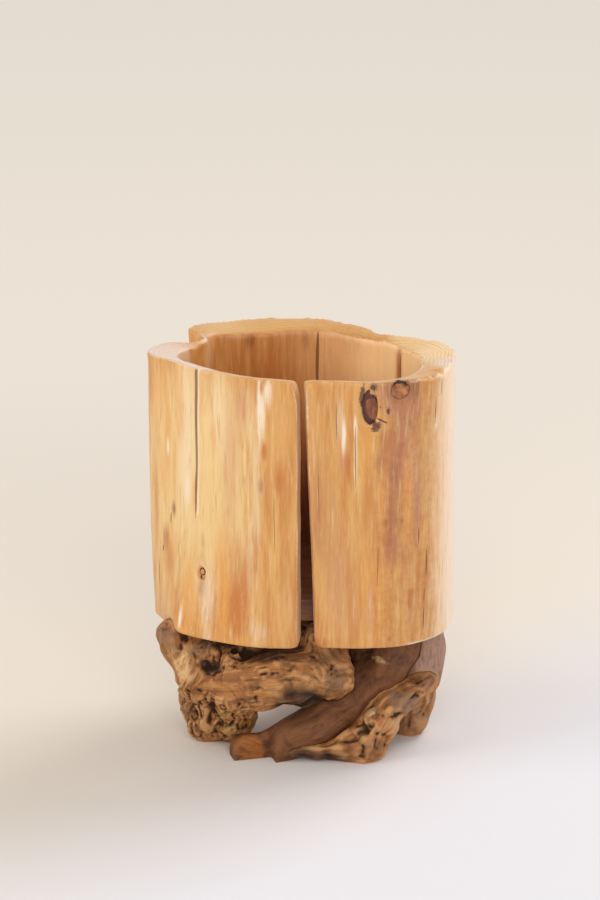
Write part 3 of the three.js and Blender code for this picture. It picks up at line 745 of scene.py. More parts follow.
def slit_numbers(points, depth):
    """How far each point is beside the nearest slit, its side as the sign, and how wide the slit is there."""
    beside = np.full(len(points), 6.0)
    width = np.zeros(len(points))
    for x, y, z, half, wide in SLITS:
        inner = y > 0
        away = (points[:, :2] - (x, y)) @ tangent_at(x, y) - 0.3 * np.sin(points[:, 2] / 11 + x)
        near = np.linalg.norm(points[:, :2] - (x, y), axis=1) < 9
        reach = 1 - ((points[:, 2] - z) / half) ** 2
        chosen = near & (reach > 0) & ((depth > 9) == inner) & (abs(away) < abs(beside))
        beside = np.where(chosen, away, beside)
        width = np.where(chosen, wide * np.sqrt(np.maximum(reach, 0)), width)
    return beside, width


def abraded_edge_and_highlight_share(points, node):
    """How near each point is to a pale edge, partly rubbed bare and partly a painted highlight: the distance
    in mm over the band's width there.
    """
    crests = sharp_edge_places(node, 40)
    for x, y, z, reach, _ in KNOTS:
        beside = np.linalg.norm(crests[:, :2] - (x, y), axis=1) < reach + 7
        round_knot = beside & (abs(crests[:, 2] - z) < 2.3 * reach)
        crests = crests[~round_knot | (crests[:, 2] > LOG_TOP - 0.6)]
    if node == "shell_left":
        crests = ease_split(crests)
    tree = KDTree(len(crests))
    for number, place in enumerate(crests):
        tree.insert(place, number)
    tree.balance()
    away = np.array([tree.find(point)[2] for point in points])
    # Its width in mm: least behind, more at the front and high in the split, and most at the front's right.
    # The wider bands at the front are partly a painted highlight along the crest.
    at_split = (abs(points[:, 0]) < 22) & (points[:, 1] < -50)
    up = np.clip((points[:, 2] - LOG_FOOT) / (LOG_TOP - LOG_FOOT), 0, 1)
    split_width = 0.7 + 1.3 * up**2 if node == "shell_right" else np.full(len(points), 0.8)
    at_front = np.where(points[:, 0] > 84, 3.0, 1.1)
    width = np.where(at_split, split_width, np.where(points[:, 1] < -30, at_front, 0.5))
    return away / width


for stave, node in ((stave_left, "shell_left"), (stave_right, "shell_right")):
    mesh = stave.data
    points, normals = points_of(mesh), points_of(mesh, "normal")
    depth = distance_to(outside, points, 45)
    write(mesh, "grain", grain_places(points))
    write(mesh, "depth", depth)
    on_rim = np.clip(normals[:, 2] * 4 - 2, 0, 1)
    write(mesh, "stain_and_painted_light", laid(points, HONEY, stain_and_light_layers(points, depth, on_rim)))
    beside, width = slit_numbers(points, depth)
    width *= abs(normals[:, 2]) < 0.6
    write(mesh, "slit", beside)
    write(mesh, "slit_width", width)
    write(mesh, "abrasion_and_painted_light", abraded_edge_and_highlight_share(points, node))
    chipped = sum(cut / 3 * mound(points, (x, y, z), 1.5 * reach) for x, y, z, reach, cut in CHIPS)
    write(mesh, "chipped", np.clip(chipped, 0, 1))
    outward = points[:, :2] / (HALF_WIDTH, HALF_DEPTH)
    outward /= np.linalg.norm(outward, axis=1)[:, None]
    facing = (normals[:, :2] * outward).sum(axis=1)
    write(mesh, "inside", np.clip(-facing * 2, 0, 1) * (depth > 6))
    print(stave.name, "wall from", depth.min().round(1), "to", depth.max().round(1), "mm deep")

# %% [markdown]
# ## The dead knots
# Three branches were overgrown, and their dead stubs sit in the wall. Round each stub is a rim of bark, and
# round that the log's own wood. The stubs are small, so their faces are finer. A few leaning ovals say
# where the bark and the heart of each stub lie, and the bark is sunk a little.

# %% Carve the knots
KNOT_GRID = 0.42  # mm across a face


def oval(side, up, middle, half, lean=0):
    """How far out each point is in a leaning oval: 0 in its middle and 1 on its edge."""
    turn = math.radians(lean)
    across, along = side - middle[0], up - middle[1]
    first = across * math.cos(turn) + along * math.sin(turn)
    second = along * math.cos(turn) - across * math.sin(turn)
    return np.hypot(first / half[0], second / half[1])


def band(values, low, high, soft):
    """1 between low and high, falling softly to 0 outside."""
    return np.clip((values - low) / soft + 0.5, 0, 1) * np.clip((high - values) / soft + 0.5, 0, 1)


def knot_figure(node, side, up, rough):
    """Where a knot's face is bark, where it is heart, and how pale the heart is, all from 0 to 1."""
    if node == "knot_upper":
        stub = oval(side, up, (0.5, -1.2), (6.3, 11.5), 12) + 0.1 * rough
        crescent = oval(side, up, (-5.0, 7.0), (4.4, 14.0), 8) + 0.15 * rough
        lobe = oval(side, up, (1.5, -13.0), (7.0, 5.0), 0) + 0.15 * rough
        streak = 0.35 * band(lumps(np.column_stack([side, up / 8, side * 0]), 1.6, 77), 0.1, 2, 0.3)
        low_side = np.clip((3 - up - 1.5 * side + 2 * rough) / 2, 0, 1)
        outer = np.maximum(np.maximum(band(crescent, -1, 1.0, 0.2), band(lobe, -1, 1.0, 0.2)), low_side)
        bark = np.maximum(band(stub, 0.8, 1.08, 0.14), outer * (stub > 0.9))
        return np.maximum(bark, streak * (stub < 0.8)), band(stub, -1, 0.86, 0.1), 0.1
    if node == "knot_rim":
        stub = oval(side, up, (0.4, -0.4), (8.5, 8.0), 0) + 0.3 * rough
        angle = np.arctan2(up, side)
        arc = band(stub, 0.5, 0.9, 0.3) * np.clip(1.2 * np.cos(angle - 0.9) + 0.3 + 0.7 * rough, 0, 1)
        curl = band(stub, 0.72, 1.4, 0.25) * np.clip(0.9 * np.cos(angle - 1.1) + 0.35 + 0.5 * rough, 0, 1)
        brown = band(stub, 0.3, 2, 0.5) * np.clip(0.65 + 0.35 * rough, 0, 1)
        return 0.9 * curl, np.maximum(arc, brown), 0.1
    stub = oval(side, up, (0.8, 1.6), (2.5, 2.9), 0) + 0.1 * rough
    tail = oval(side, up, (0.0, -3.2), (1.5, 2.4), 0) + 0.2 * rough
    bark = np.maximum(band(stub, 0.78, 1.12, 0.18), 0.6 * band(tail, -1, 0.8, 0.4))
    return bark, band(stub, -1, 0.8, 0.2), 0.95


def carve_knot(name, node, seed):
    """A knot with a sunk rim of bark and a cracked heart."""
    piece = with_even_faces(closed_copy(name, node), KNOT_GRID)
    mesh = piece.data
    edges = edges_of(mesh)
    points = averaged(points_of(mesh), edges, 3)
    low, high = (np.array(corner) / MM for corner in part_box(node))
    middle = (low + high) / 2
    side = (points - middle) @ np.append(tangent_at(middle[0], middle[1]), 0)
    up = points[:, 2] - middle[2]
    rough = 0.7 * lumps(points, 3.4, seed) + 0.4 * lumps(points, 1.3, seed + 1)
    bark, heart, pale = knot_figure(node, side, up, rough)
    move_points(mesh, points)
    on_face = distance_to(outside, points, 20) < 2.5
    crack = np.exp(-((lumps(points * (1, 1, 0.35), 1.8, seed + 2) / 0.12) ** 2))
    sunk = (1.1 * bark + heart * (0.3 + 0.5 * crack)) * on_face - 0.3
    move_points(mesh, points - points_of(mesh, "normal") * sunk[:, None])
    write(mesh, "bark", bark)
    write(mesh, "heart", heart)
    write(mesh, "pale", np.full(len(points), pale))
    write(mesh, "grain", grain_places(points))
    mesh.shade_smooth()
    print(name, len(mesh.polygons), "faces")
    return piece


knots = {
    "knot_upper": carve_knot("dead_knot_upper", "knot_upper", 21),
    "knot_rim": carve_knot("dead_knot_rim", "knot_rim", 31),
    "knot_lower": carve_knot("dead_knot_lower", "knot_lower", 41),
}

# %% [markdown]
# ## The floor board
# Inside, a sawn board closes the log and carries the flowers' weight. Its edge is broken by a small
# chamfer, and its top shows straight saw lines, so a bevelled copy of the CAD board is enough.

# %% Ease the floor board
board = closed_copy("vase_floor", "floor_board")
shape = bmesh.new()
shape.from_mesh(board.data)
bmesh.ops.dissolve_limit(shape, angle_limit=math.radians(1), verts=shape.verts[:], edges=shape.edges[:])
rims = [e for e in shape.edges if len(e.link_faces) == 2 and e.calc_face_angle() > math.radians(60)]
bmesh.ops.bevel(
    shape, geom=rims, offset=0.8 * MM, offset_type="OFFSET", affect="EDGES", segments=2, profile=0.5,
    material=-1, clamp_overlap=True,
)
shape.to_mesh(board.data)
shape.free()
print("floor board", len(board.data.polygons), "faces")

# %% [markdown]
# ## The root's limbs
# A root is dug up, washed and brushed, which leaves hard ridges along each limb and hollows between them,
# which the finish darkens partly as dirt and partly as painted shade. Each limb is carved on lines that run
# down its middle. The nearest line gives a point its grain place, in which length along the limb is pressed
# together, so noise on it makes ridges along the limb.

# %% Lines through the limbs, in mm
LINES = {
    "root_burl": [
        [(-79, -31, 100), (-80, -33, 70), (-77, -33, 50), (-78, -26, 29), (-72, -19, 5)],
        [(-72, -44, 58), (-63, -48, 59), (-41, -58, 64), (-13, -63, 71), (10, -64, 74), (30, -63, 70)],
        [(25, -56, 61), (23, -62, 78), (16, -57, 100)],
        [(-108, -38, 103), (-105, -37, 86), (-93, -36, 69)],
        [(-70, -23, 85), (-53, -19, 105), (-49, -16, 130)],
        [(-63, -37, 87), (-31, -43, 89), (5, -43, 92), (19, -47, 83)],
    ],
    "root_cross_limb": [
        [(-60, -63, 4), (-31, -63, 5), (-13, -60, 14), (13, -53, 25), (33, -47, 38), (49, -43, 53)]
        + [(65, -39, 70), (77, -36, 95)],
        [(61, -39, 70), (49, -26, 95), (43, -21, 130)],
        [(36, -41, 44), (33, -25, 62), (41, -23, 88)],
    ],
    "root_right_limb": [
        [(-16, -71, 9), (19, -70, 8), (35, -67, 9), (47, -64, 10), (57, -62, 21), (67, -58, 36)]
        + [(80, -51, 47), (92, -43, 51), (108, -34, 60)],
    ],
    "root_rear_limb": [
        [(90, -9, 0), (93, -13, 27), (98, -23, 50), (101, -24, 68), (101, -26, 88), (98, -26, 112)],
    ],
    "root_back_limb": [
        [(-90, -16, 52), (-73, -4, 66), (-46, 15, 84), (-8, 30, 92), (29, 28, 90), (61, 11, 78)]
        + [(86, -2, 66)],
        [(4, 32, 80), (10, 43, 45), (13, 57, 0)],
        [(4, 32, 95), (5, 30, 130)],
    ],
}
# Every point counts as this far from its line, so that streaks are as wide on a thin limb as on a thick one
FROM_LINE = 18
# The diagonal step in the noise from one line to the next, so that no two lines share their streaks
NEXT_LINE = 37


def limb_places(points, lines):
    """The grain place of each point on a limb, blended where its lines meet."""
    offsets, reaches = [], []
    for number, line in enumerate(lines):
        best = np.full(len(points), 1e9)
        place = np.zeros_like(points)
        run = 0.0
        for start, end in itertools.pairwise(np.array(line, float)):
            length = np.linalg.norm(end - start)
            unit = (end - start) / length
            along = np.clip((points - start) @ unit, 0, length)
            away = points - start - along[:, None] * unit
            reach = np.linalg.norm(away, axis=1)
            slid = away * (FROM_LINE / np.maximum(reach, 2))[:, None]
            slid += ((run + along) / PRESS + NEXT_LINE * number)[:, None] * (0.58, 0.58, 0.58)
            place = np.where((reach < best)[:, None], slid, place)
            best = np.minimum(best, reach)
            run += length
        offsets.append(place)
        reaches.append(best)
    shares = np.exp(-(np.array(reaches) - np.min(reaches, axis=0)) / 3.0)
    shares = (shares / shares.sum(axis=0))[:, :, None]
    return (np.array(offsets) * shares).sum(axis=0)

# %% Carve the limbs
ROOTS = list(LINES)
CROWNED = ["shell_left", "shell_right", "floor_board"]
ROOT_GRID = 1.05  # mm across a face
# How deep each limb is carved in mm: broad lumps, long ridges, fine ridges
CARVING = {
    "root_burl": (2.2, 1.8, 0.5),
    "root_cross_limb": (1.6, 0.8, 0.25),
    "root_right_limb": (3.0, 1.6, 0.4),
    "root_rear_limb": (1.5, 0.9, 0.4),
    "root_back_limb": (1.8, 1.2, 0.4),
}
# Knuckles that stand on a limb: middle, half sizes, turn. A limb without a row has none.
KNUCKLES = {
    "root_burl": [
        ((-61, -57, 82), (4.5, 5, 8), 25), ((-71, -54, 87), (4, 5, 6), -30),
        ((-52, -58, 84), (3.5, 5, 7), 10), ((-65, -50, 36), (8, 6, 12), 10),
        ((-91, -40, 38), (8, 9, 10), 0), ((-83, -52, 52), (8, 9, 8), 40), ((-60, -46, 20), (10, 7, 8), 0),
        ((-78, -44, 24), (7, 7, 10), 20), ((-52, -50, 40), (7, 8, 14), 0),
        ((-87, -49, 90), (11, 7, 5), 15), ((-36, -72, 83), (8, 7, 5), 0), ((-18, -76, 87), (6, 5, 4), 0),
        # The wide knuckle at (1, -56, 52) fills the gap under the arm, where it is stained near black as
        # painted shadow.
        ((22, -70, 62), (9, 8, 9), 0), ((1, -56, 52), (20, 9, 11), 0),
    ],
    "root_cross_limb": [((62, -50, 80), (8, 5, 3), 35)],
    "root_right_limb": [
        ((56, -70, 40), (5, 4, 7), 30), ((41, -70, 14), (9, 8, 8), 0), ((60, -72, 12), (9, 7, 9), 0),
        ((66, -70, 42), (9, 4, 3), -35), ((84, -60, 52), (12, 5, 3), -30),
    ],
    "root_rear_limb": [((95, -18, 14), (9, 9, 10), 0)],
}
# Hollows pressed into a limb: middle, half sizes, depth. A limb without a row has none.
HOLLOWS = {
    "root_burl": [
        ((-74, -60, 78), (10, 9, 7), 5), ((-48, -60, 88), (8, 8, 6), 5), ((-38, -78, 60), (3, 6, 10), 3),
        ((-58, -58, 60), (3, 8, 10), 3.5), ((-88, -50, 66), (4, 8, 4), 4),
        ((-72, -55, 44), (3, 8, 10), 4), ((-57, -56, 26), (2.5, 8, 6), 3),
        ((-86, -48, 30), (3, 8, 6), 3.5), ((-45, -60, 52), (3, 8, 6), 3),
        ((-7, -82, 85), (5, 6, 1.8), 1.6), ((24, -80, 84), (4, 6, 2.4), 1.8),
        ((-30, -82, 80), (8, 7, 2.2), 2.0), ((-8, -86, 76), (11, 6, 1.6), 1.0),
        ((-26, -82, 68), (10, 7, 1.8), 1.4), ((20, -84, 72), (9, 6, 1.5), 0.9),
    ],
    "root_cross_limb": [((48, -56, 84), (8, 9, 5), 4)],
    "root_right_limb": [
        ((51, -76, 30), (8, 8, 6), 7), ((70, -74, 24), (4, 6, 9), 3.0), ((30, -78, 20), (9, 7, 3), 2.5),
        ((49, -80, 9), (4, 7, 9), 3), ((76, -68, 40), (11, 6, 2.2), 2.2),
        ((94, -56, 52), (12, 8, 2.2), 2.2), ((60, -78, 18), (2.4, 6, 9), 2.2),
    ],
}
# Swirls of grain round a buried twig: middle, reach
SWIRLS = [
    (-31, -80, 80, 7), (-17, -76, 93, 6), (8, -76, 93, 6), (-52, -66, 70, 6), (52, -78, 34, 7),
    (26, -82, 80, 5),
]


def broken(points, node):
    """Where the burl is broken into upright splinters, from 0 to 1."""
    if node != "root_burl":
        return np.zeros(len(points))
    low = np.clip((60 - points[:, 2]) / 10, 0, 1) * np.clip((-38 - points[:, 0]) / 8, 0, 1)
    nubs = mound(points, (-60, -58, 84), (15, 14, 14))
    return np.clip(low + nubs, 0, 1)


def splinter_blocks(points, seed):
    """Upright broken blocks: how high in mm each point stands, and its block's own number."""
    bent = points + 5 * wobble(points, 13, seed)
    seam, number = fragments(bent * (1, 1, 0.5), 10, seed)
    split = np.exp(-((seam / 0.06) ** 2)) * (lumps(points, 9, seed + 8) > -0.25)
    fibre = 1 - 2 * abs(lumps(bent * (1, 1, 0.1), 1.9, seed + 9))
    return 4.5 * (number - 0.5) - 2.6 * split + 0.8 * fibre, number


def ridged(points, grain, seed, depths, calm):
    """Broad lumps, and where the limb is calm also ridges and grooves along its grain."""
    broad, long, fine = depths
    wavy = grain + 1.5 * wobble(points, 12, seed + 20)
    here = np.clip(2.4 * lumps(points, 18, seed + 11) - 0.1, 0, 1)
    groove = np.exp(-((lumps(wavy, 9, seed + 6) / 0.12) ** 2)) * here
    height = broad * lumps(points, 17, seed + 4) + 0.14 * broad * lumps(points, 8, seed + 5)
    height += calm * long * (0.5 * lumps(wavy, 8, seed + 7) - 0.5 * groove)
    return height + calm * fine * lumps(wavy, 3.2, seed + 10)


def swirled(points, seed):
    """Rings of grain round the buried twigs, each with a pit in its middle."""
    bent = points + 1.6 * wobble(points, 6, seed + 30)
    height = np.zeros(len(points))
    for x, y, z, reach in SWIRLS:
        away = np.linalg.norm((bent - (x, y, z)) * (0.75, 1, 1.2), axis=1)
        height += 0.5 * np.cos(away * 2 * math.pi / 3.4) * np.exp(-((away / reach) ** 2))
        height -= 1.2 * np.exp(-((away / 1.6) ** 2))
    return height


def carve_limb(name, node):
    """A limb of the root with lumps, ridges along its lines, splinters, hollows and swirls."""
    piece = with_even_faces(closed_copy(name, node, KNUCKLES.get(node, ())), ROOT_GRID)
    mesh = piece.data
    edges = edges_of(mesh)
    points = points_of(mesh)
    # Keep clear of the neighbours, the ground and the sawn foot
    others = surface_tree([n for n in ROOTS + CROWNED if n != node])
    clear = distance_to(others, points, 8)
    free = np.clip((clear - 0.6) / 4, 0, 1) * np.clip(points[:, 2] / 5, 0, 1)
    sawn = np.clip((points[:, 0] + 34) / 10, 0, 1) if node == "root_cross_limb" else 1
    points = averaged(points, edges, 8, free < 0.15)

    seed = 50 + 10 * ROOTS.index(node)
    splinters = broken(points, node)
    blocks, number = splinter_blocks(points, seed)
    upright = points / (1, 1, PRESS) + 3 * number[:, None]
    grain = np.where(splinters[:, None] > 0.5, upright, limb_places(points, LINES[node]))
    height = ridged(points, grain, seed, CARVING[node], 1 - 0.8 * splinters)
    height += splinters * blocks + swirled(points, seed)
    ragged = points + 2.2 * wobble(points, 5, seed + 40)
    for centre, sizes, depth in HOLLOWS.get(node, ()):
        height -= depth * mound(ragged, centre, sizes)
    height = averaged(height, edges, 1)

    move_points(mesh, points)
    normals = averaged(points_of(mesh, "normal"), edges, 3)
    points = points + normals * (height * free * sawn)[:, None]
    if node == "root_cross_limb":
        off_ground = (free > 0.3) | ((points[:, 2] < 6) & (points[:, 2] > 0.5))
        near_saw = (points[:, 0] > -38) & (points[:, 0] < 6) & off_ground
        points = averaged(points, edges, 50, ~near_saw)
    move_points(mesh, points)
    write(mesh, "grain", grain)
    write(mesh, "ridge", ridges(mesh, edges, 3, 16))
    write(mesh, "block", number * splinters)
    mesh.shade_smooth()
    print(name, len(mesh.polygons), "faces")
    return piece


limbs = {node: carve_limb(node.replace("root_", "carved_"), node) for node in ROOTS}

# %% [markdown]
# ## Stains and painted light on the root
# The root isn't one brown. Rubbed places are honey coloured, the knob and the rear lobe are greyish pink,
# and the sawn foot is a plain orange brown. Some patches are painted light: near-black painted shade under
# the stave's foot, under the arm, in two hollows and where a limb meets the ground, and a pale painted
# highlight down the right limb. Each is one soft patch with a middle, a size and a colour.

# %% Write the root's stains and painted light
RUST, COFFEE, OCHRE = (168, 104, 50), (96, 60, 38), (190, 126, 50)
# Middle and half sizes in mm, colour from 0 to 255, strength
ROOT_STAINS_AND_PAINTED_LIGHT = {
    "root_burl": [
        # The two near-black patches under the stave's foot are painted shade.
        ((-66, -46, 94), (20, 16, 6), (62, 36, 20), 1.0),
        ((-58, -40, 88), (12, 9, 10), (66, 38, 22), 0.9),
        ((-111, -44, 100), (8, 12, 9), (150, 108, 84), 0.9),
        ((-108, -44, 88), (7, 12, 6), (176, 130, 78), 0.8),
        ((-87, -52, 89), (16, 9, 5), (172, 128, 90), 0.8),
        ((-98, -55, 76), (11, 14, 13), (232, 184, 128), 1.0),
        # The near-black patch at (-75, -60, 76) is painted shade in the hollow.
        ((-75, -60, 76), (8, 8, 5), (64, 36, 20), 1.0), ((-61, -60, 82), (4, 6, 6), (208, 146, 100), 0.8),
        ((-10, -85, 68), (34, 12, 7), (198, 142, 86), 0.9),
        ((-62, -52, 60), (8, 9, 8), (176, 110, 56), 0.6),
        ((-50, -58, 34), (6, 9, 15), (186, 124, 74), 0.7), ((-41, -46, 22), (4, 9, 10), OCHRE, 0.9),
        ((-65, -55, 36), (6, 8, 7), (196, 156, 86), 0.8),
        ((-59, -50, 20), (8, 8, 4), (176, 138, 82), 0.7),
        ((-93, -43, 36), (8, 12, 9), (112, 78, 54), 0.8),
        ((-83, -57, 52), (6, 9, 6), (178, 114, 62), 0.7),
        # The two dark bands along the arm's top, under the stave's foot, are painted shadow.
        ((16, -76, 91), (22, 14, 7), (104, 68, 42), 0.6),
        ((-30, -68, 92), (30, 16, 8), (84, 52, 32), 0.9),
        ((-52, -70, 72), (10, 8, 6), (150, 104, 66), 0.6),
        ((28, -78, 70), (10, 12, 14), (126, 90, 60), 0.6),
        # The two near-black patches at (1, -62, 50) and (-3, -78, 60) are a painted shadow under the arm.
        ((26, -80, 74), (8, 10, 9), (160, 120, 84), 0.6), ((1, -62, 50), (28, 24, 12), (34, 20, 14), 1.0),
        ((-3, -78, 60), (20, 30, 11.5), (36, 22, 16), 1.0),
    ],
    "root_cross_limb": [
        ((62, -56, 82), (8, 6, 2), (200, 164, 112), 0.9), ((-42, -69, 10), (14, 9, 14), RUST, 1.0),
        ((-10, -75, 20), (18, 14, 8), (134, 84, 46), 0.6),
        ((79, -56, 82), (12, 14, 10), (112, 74, 54), 0.7),
        ((50, -52, 66), (12, 12, 12), (104, 66, 46), 0.7),
    ],
    "root_right_limb": [
        ((84, -62, 48), (20, 10, 10), (142, 106, 80), 0.9),
        ((61, -77, 36), (5, 8, 5), (190, 118, 70), 0.8),
        # The pale patch at (76, -68, 28) is a painted highlight down the limb.
        ((76, -68, 28), (5, 10, 14), (200, 156, 120), 0.8),
        ((39, -77, 16), (8, 8, 7), (158, 98, 60), 0.7), ((59, -80, 12), (14, 8, 10), (140, 94, 58), 0.7),
        # The near-black patch at (50, -76, 28) is painted shade in the deep hollow.
        ((103, -45, 58), (10, 14, 9), (142, 94, 70), 0.8), ((50, -76, 28), (6, 8, 5), (56, 32, 20), 0.9),
        # The dark patch at (8, -78, 5) is painted shade where the limb meets the ground.
        ((56, -74, 44), (9, 8, 5), (150, 112, 82), 0.7), ((8, -78, 5), (28, 14, 9), (74, 46, 28), 1.0),
        ((56, -72, 42), (3, 5, 2), (220, 186, 140), 0.9),
    ],
    "root_rear_limb": [
        ((106, -34, 82), (26, 26, 30), (176, 138, 120), 1.0),
        ((93, -22, 14), (14, 14, 16), (178, 130, 92), 0.9),
    ],
    "root_back_limb": [((0, 50, 30), (30, 30, 30), (120, 78, 48), 0.5)],
}


def root_stain_and_light_layers(points, node):
    """Each patch's colour and its share at each point of a limb."""
    for centre, sizes, colour, strength in ROOT_STAINS_AND_PAINTED_LIGHT[node]:
        yield colour, strength * np.exp(-((((points - centre) / sizes) ** 2).sum(axis=1) ** 2))


for node, limb in limbs.items():
    points = points_of(limb.data)
    points = points + 3.5 * wobble(points, 9, 90)
    write(limb.data, "stain_and_painted_light", laid(points, COFFEE, root_stain_and_light_layers(points, node)))

# %% [markdown]
# ## Shared effects
# Each effect that more than one finish uses is a node group with named sockets. There are four: wood fibres,
# growth rings, stains with frayed edges, which also lay the painted light, and rubbed wood with light ridges
# and crevices made dark partly as dirt and partly as painted shade.

# %% The fibre group
fibres, door, out = new_group(
    "wood fibres",
    [("Grain", "Vector"), ("Streak width", "Float"), ("Fibre width", "Float")],
    [("Streaks", "Float"), ("Clouds", "Float"), ("Fibres", "Float")],
)
grain = door.outputs["Grain"]
streak_scale = sum_of(fibres, "DIVIDE", 1.0, door.outputs["Streak width"])
fibre_scale = sum_of(fibres, "DIVIDE", 1.0, door.outputs["Fibre width"])
cloud_scale = times(fibres, streak_scale, 0.37)
fibres.links.new(noise(fibres, grain, streak_scale, 3.0, 0.55, 0.25), out.inputs["Streaks"])
fibres.links.new(noise(fibres, grain, cloud_scale, 2.0, 0.5, 0.4), out.inputs["Clouds"])
fibres.links.new(noise(fibres, grain, fibre_scale, 3.0, 0.7, 0.1), out.inputs["Fibres"])

# %% The growth ring group
rings, door, out = new_group(
    "growth rings",
    [("Depth", "Float"), ("Spacing", "Float"), ("Grain", "Vector")],
    [("Ring", "Float")],
)
wander = noise(rings, door.outputs["Grain"], 0.06, 2.0, 0.5)
turns = sum_of(rings, "DIVIDE", door.outputs["Depth"], door.outputs["Spacing"])
turns = times_plus(rings, wander, 2.4, turns)
across = sum_of(rings, "FRACT", turns)
rise = stepped(rings, across, 0.35, 0.88)
fall = stepped(rings, across, 0.9, 1.0, 1.0, 0.0)
rings.links.new(times(rings, rise, fall), out.inputs["Ring"])

# %% The frayed stain group
frayed, door, out = new_group(
    "frayed stain",
    [("Base", "Color"), ("Stain", "Color"), ("Cover", "Float"), ("Fibres", "Float"), ("Fray", "Float")],
    [("Color", "Color")],
)
torn = sum_of(frayed, "SUBTRACT", door.outputs["Fibres"], 0.5)
torn = times_plus(frayed, torn, door.outputs["Fray"], door.outputs["Cover"])
share = stepped(frayed, torn, 0.12, 0.85)
frayed.links.new(blended(frayed, share, door.outputs["Base"], door.outputs["Stain"]), out.inputs["Color"])


def stains_and_light_over(tree, base, fibre_noise, fray):
    """The stains and painted light written on the surface over a base colour. Returns the colour, and the
    attribute's outputs.
    """
    stain_and_painted_light = add(tree, "Attribute", {"attribute_name": "stain_and_painted_light"}, {}).outputs
    inputs = {"Base": base, "Stain": stain_and_painted_light["Color"], "Cover": stain_and_painted_light["Alpha"]}
    inputs |= {"Fibres": fibre_noise, "Fray": fray}
    return use(tree, frayed, inputs).outputs["Color"], stain_and_painted_light


# %% The rubbed ridge group: light ridges, and crevices darkened partly as dirt and partly as painted shade
ridge_rub_and_crevice_shade, door, out = new_group(
    "rubbed ridges",
    [("Base", "Color"), ("Ridge", "Float"), ("Crevice tint", "Color"), ("Ridge tint", "Color")]
    + [("Crevice", "Float"), ("Rub", "Float")],
    [("Color", "Color")],
)
# Crevices are darkened partly as dirt and partly as painted shade; ridges are lightened where rubbed.
hollow = stepped(ridge_rub_and_crevice_shade, door.outputs["Ridge"], -0.85, -0.05, 1.0, 0.0)
hollow = times(ridge_rub_and_crevice_shade, hollow, door.outputs["Crevice"])
proud = times(ridge_rub_and_crevice_shade, stepped(ridge_rub_and_crevice_shade, door.outputs["Ridge"], 0.1, 0.95), door.outputs["Rub"])
dark = blended(ridge_rub_and_crevice_shade, hollow, door.outputs["Base"], door.outputs["Crevice tint"])
light = blended(ridge_rub_and_crevice_shade, proud, dark, door.outputs["Ridge tint"])
ridge_rub_and_crevice_shade.links.new(light, out.inputs["Color"])

# %% [markdown]
# ## The log's finish
# Sanded and oiled softwood is honey with cream streaks and a pink cast. The rim shows rings, the bore is a
# deeper brown, slits are nearly black, and the worn edges are pale, partly as a painted highlight along the
# front crest. Some stains are painted light: a pale band down the right side, light on the bore's right wall
# and shade low in the bore. A little sheen stands for the fine dust and fibres that the sanding leaves, and
# the bump has fine upright scratches.

# %% Sapwood: streaks, the bore, the rim and the stains
sapwood, tree, shader = new_material("oiled sapwood")
grain = read(tree, "grain", "Vector")
wood = use(tree, fibres, {"Grain": grain, "Streak width": 7.0, "Fibre width": 1.1})
streaks = stepped(tree, wood.outputs["Streaks"], 0.33, 0.7)
colour = blended(tree, streaks, paint(206, 138, 68), paint(224, 170, 98))
pink_cast = stepped(tree, wood.outputs["Clouds"], 0.47, 0.72, 0.0, 0.45)
colour = blended(tree, pink_cast, colour, paint(214, 154, 104))
in_bore = read(tree, "inside")
bore_colour = blended(tree, streaks, paint(196, 128, 66), paint(218, 158, 94))
colour = blended(tree, times(tree, in_bore, 0.9), colour, bore_colour)
facing = add(tree, "SeparateXYZ", {}, {0: add(tree, "NewGeometry", {}, {}).outputs["Normal"]})
end_grain = stepped(tree, sum_of(tree, "ABSOLUTE", facing.outputs["Z"]), 0.5, 0.9)
colour = blended(tree, times(tree, end_grain, 0.6), colour, paint(208, 158, 92))
tongues = noise(tree, grain, 0.3, 3.0, 0.6, 0.4)
colour, _ = stains_and_light_over(tree, colour, tongues, times_plus(tree, end_grain, -0.7, 1.0))

# %% Sapwood: mottling, fine streaks and rings
spot = own_place(tree)
across = add(tree, "SeparateXYZ", {}, {0: spot}).outputs["X"]
mottled_side = times(tree, stepped(tree, across, 0.045, 0.065), stepped(tree, across, 0.1, 0.116, 1.0, 0.0))
skin = sum_of(tree, "SUBTRACT", 1.0, sum_of(tree, "MAXIMUM", end_grain, in_bore))
blotches = stepped(tree, noise(tree, spot, 180.0, 3.0, 0.65), 0.36, 0.7, 0.0, 0.42)
blotches = times(tree, times(tree, blotches, skin), mottled_side)
colour = blended(tree, blotches, colour, paint(232, 200, 186), "MULTIPLY")
narrow = noise(tree, grain, 0.36, 3.0, 0.6, 0.3)
light_streak = times(tree, stepped(tree, narrow, 0.52, 0.75, 0.0, 0.38), skin)
dark_streak = times(tree, stepped(tree, narrow, 0.28, 0.46, 0.42, 0.0), skin)
colour = blended(tree, light_streak, colour, paint(242, 206, 152))
colour = blended(tree, dark_streak, colour, paint(196, 126, 60))
growth = use(tree, rings, {"Depth": read(tree, "depth"), "Spacing": 3.1, "Grain": grain})
ring_share = times(tree, growth.outputs["Ring"], times_plus(tree, end_grain, 0.24, 0.05))
colour = blended(tree, ring_share, colour, paint(176, 112, 54))
fine = stepped(tree, wood.outputs["Fibres"], 0.25, 0.75)
grey = add(tree, "CombineColor", {}, {0: fine, 1: fine, 2: fine}).outputs[0]
colour = blended(tree, 0.14, colour, grey, "SOFT_LIGHT")

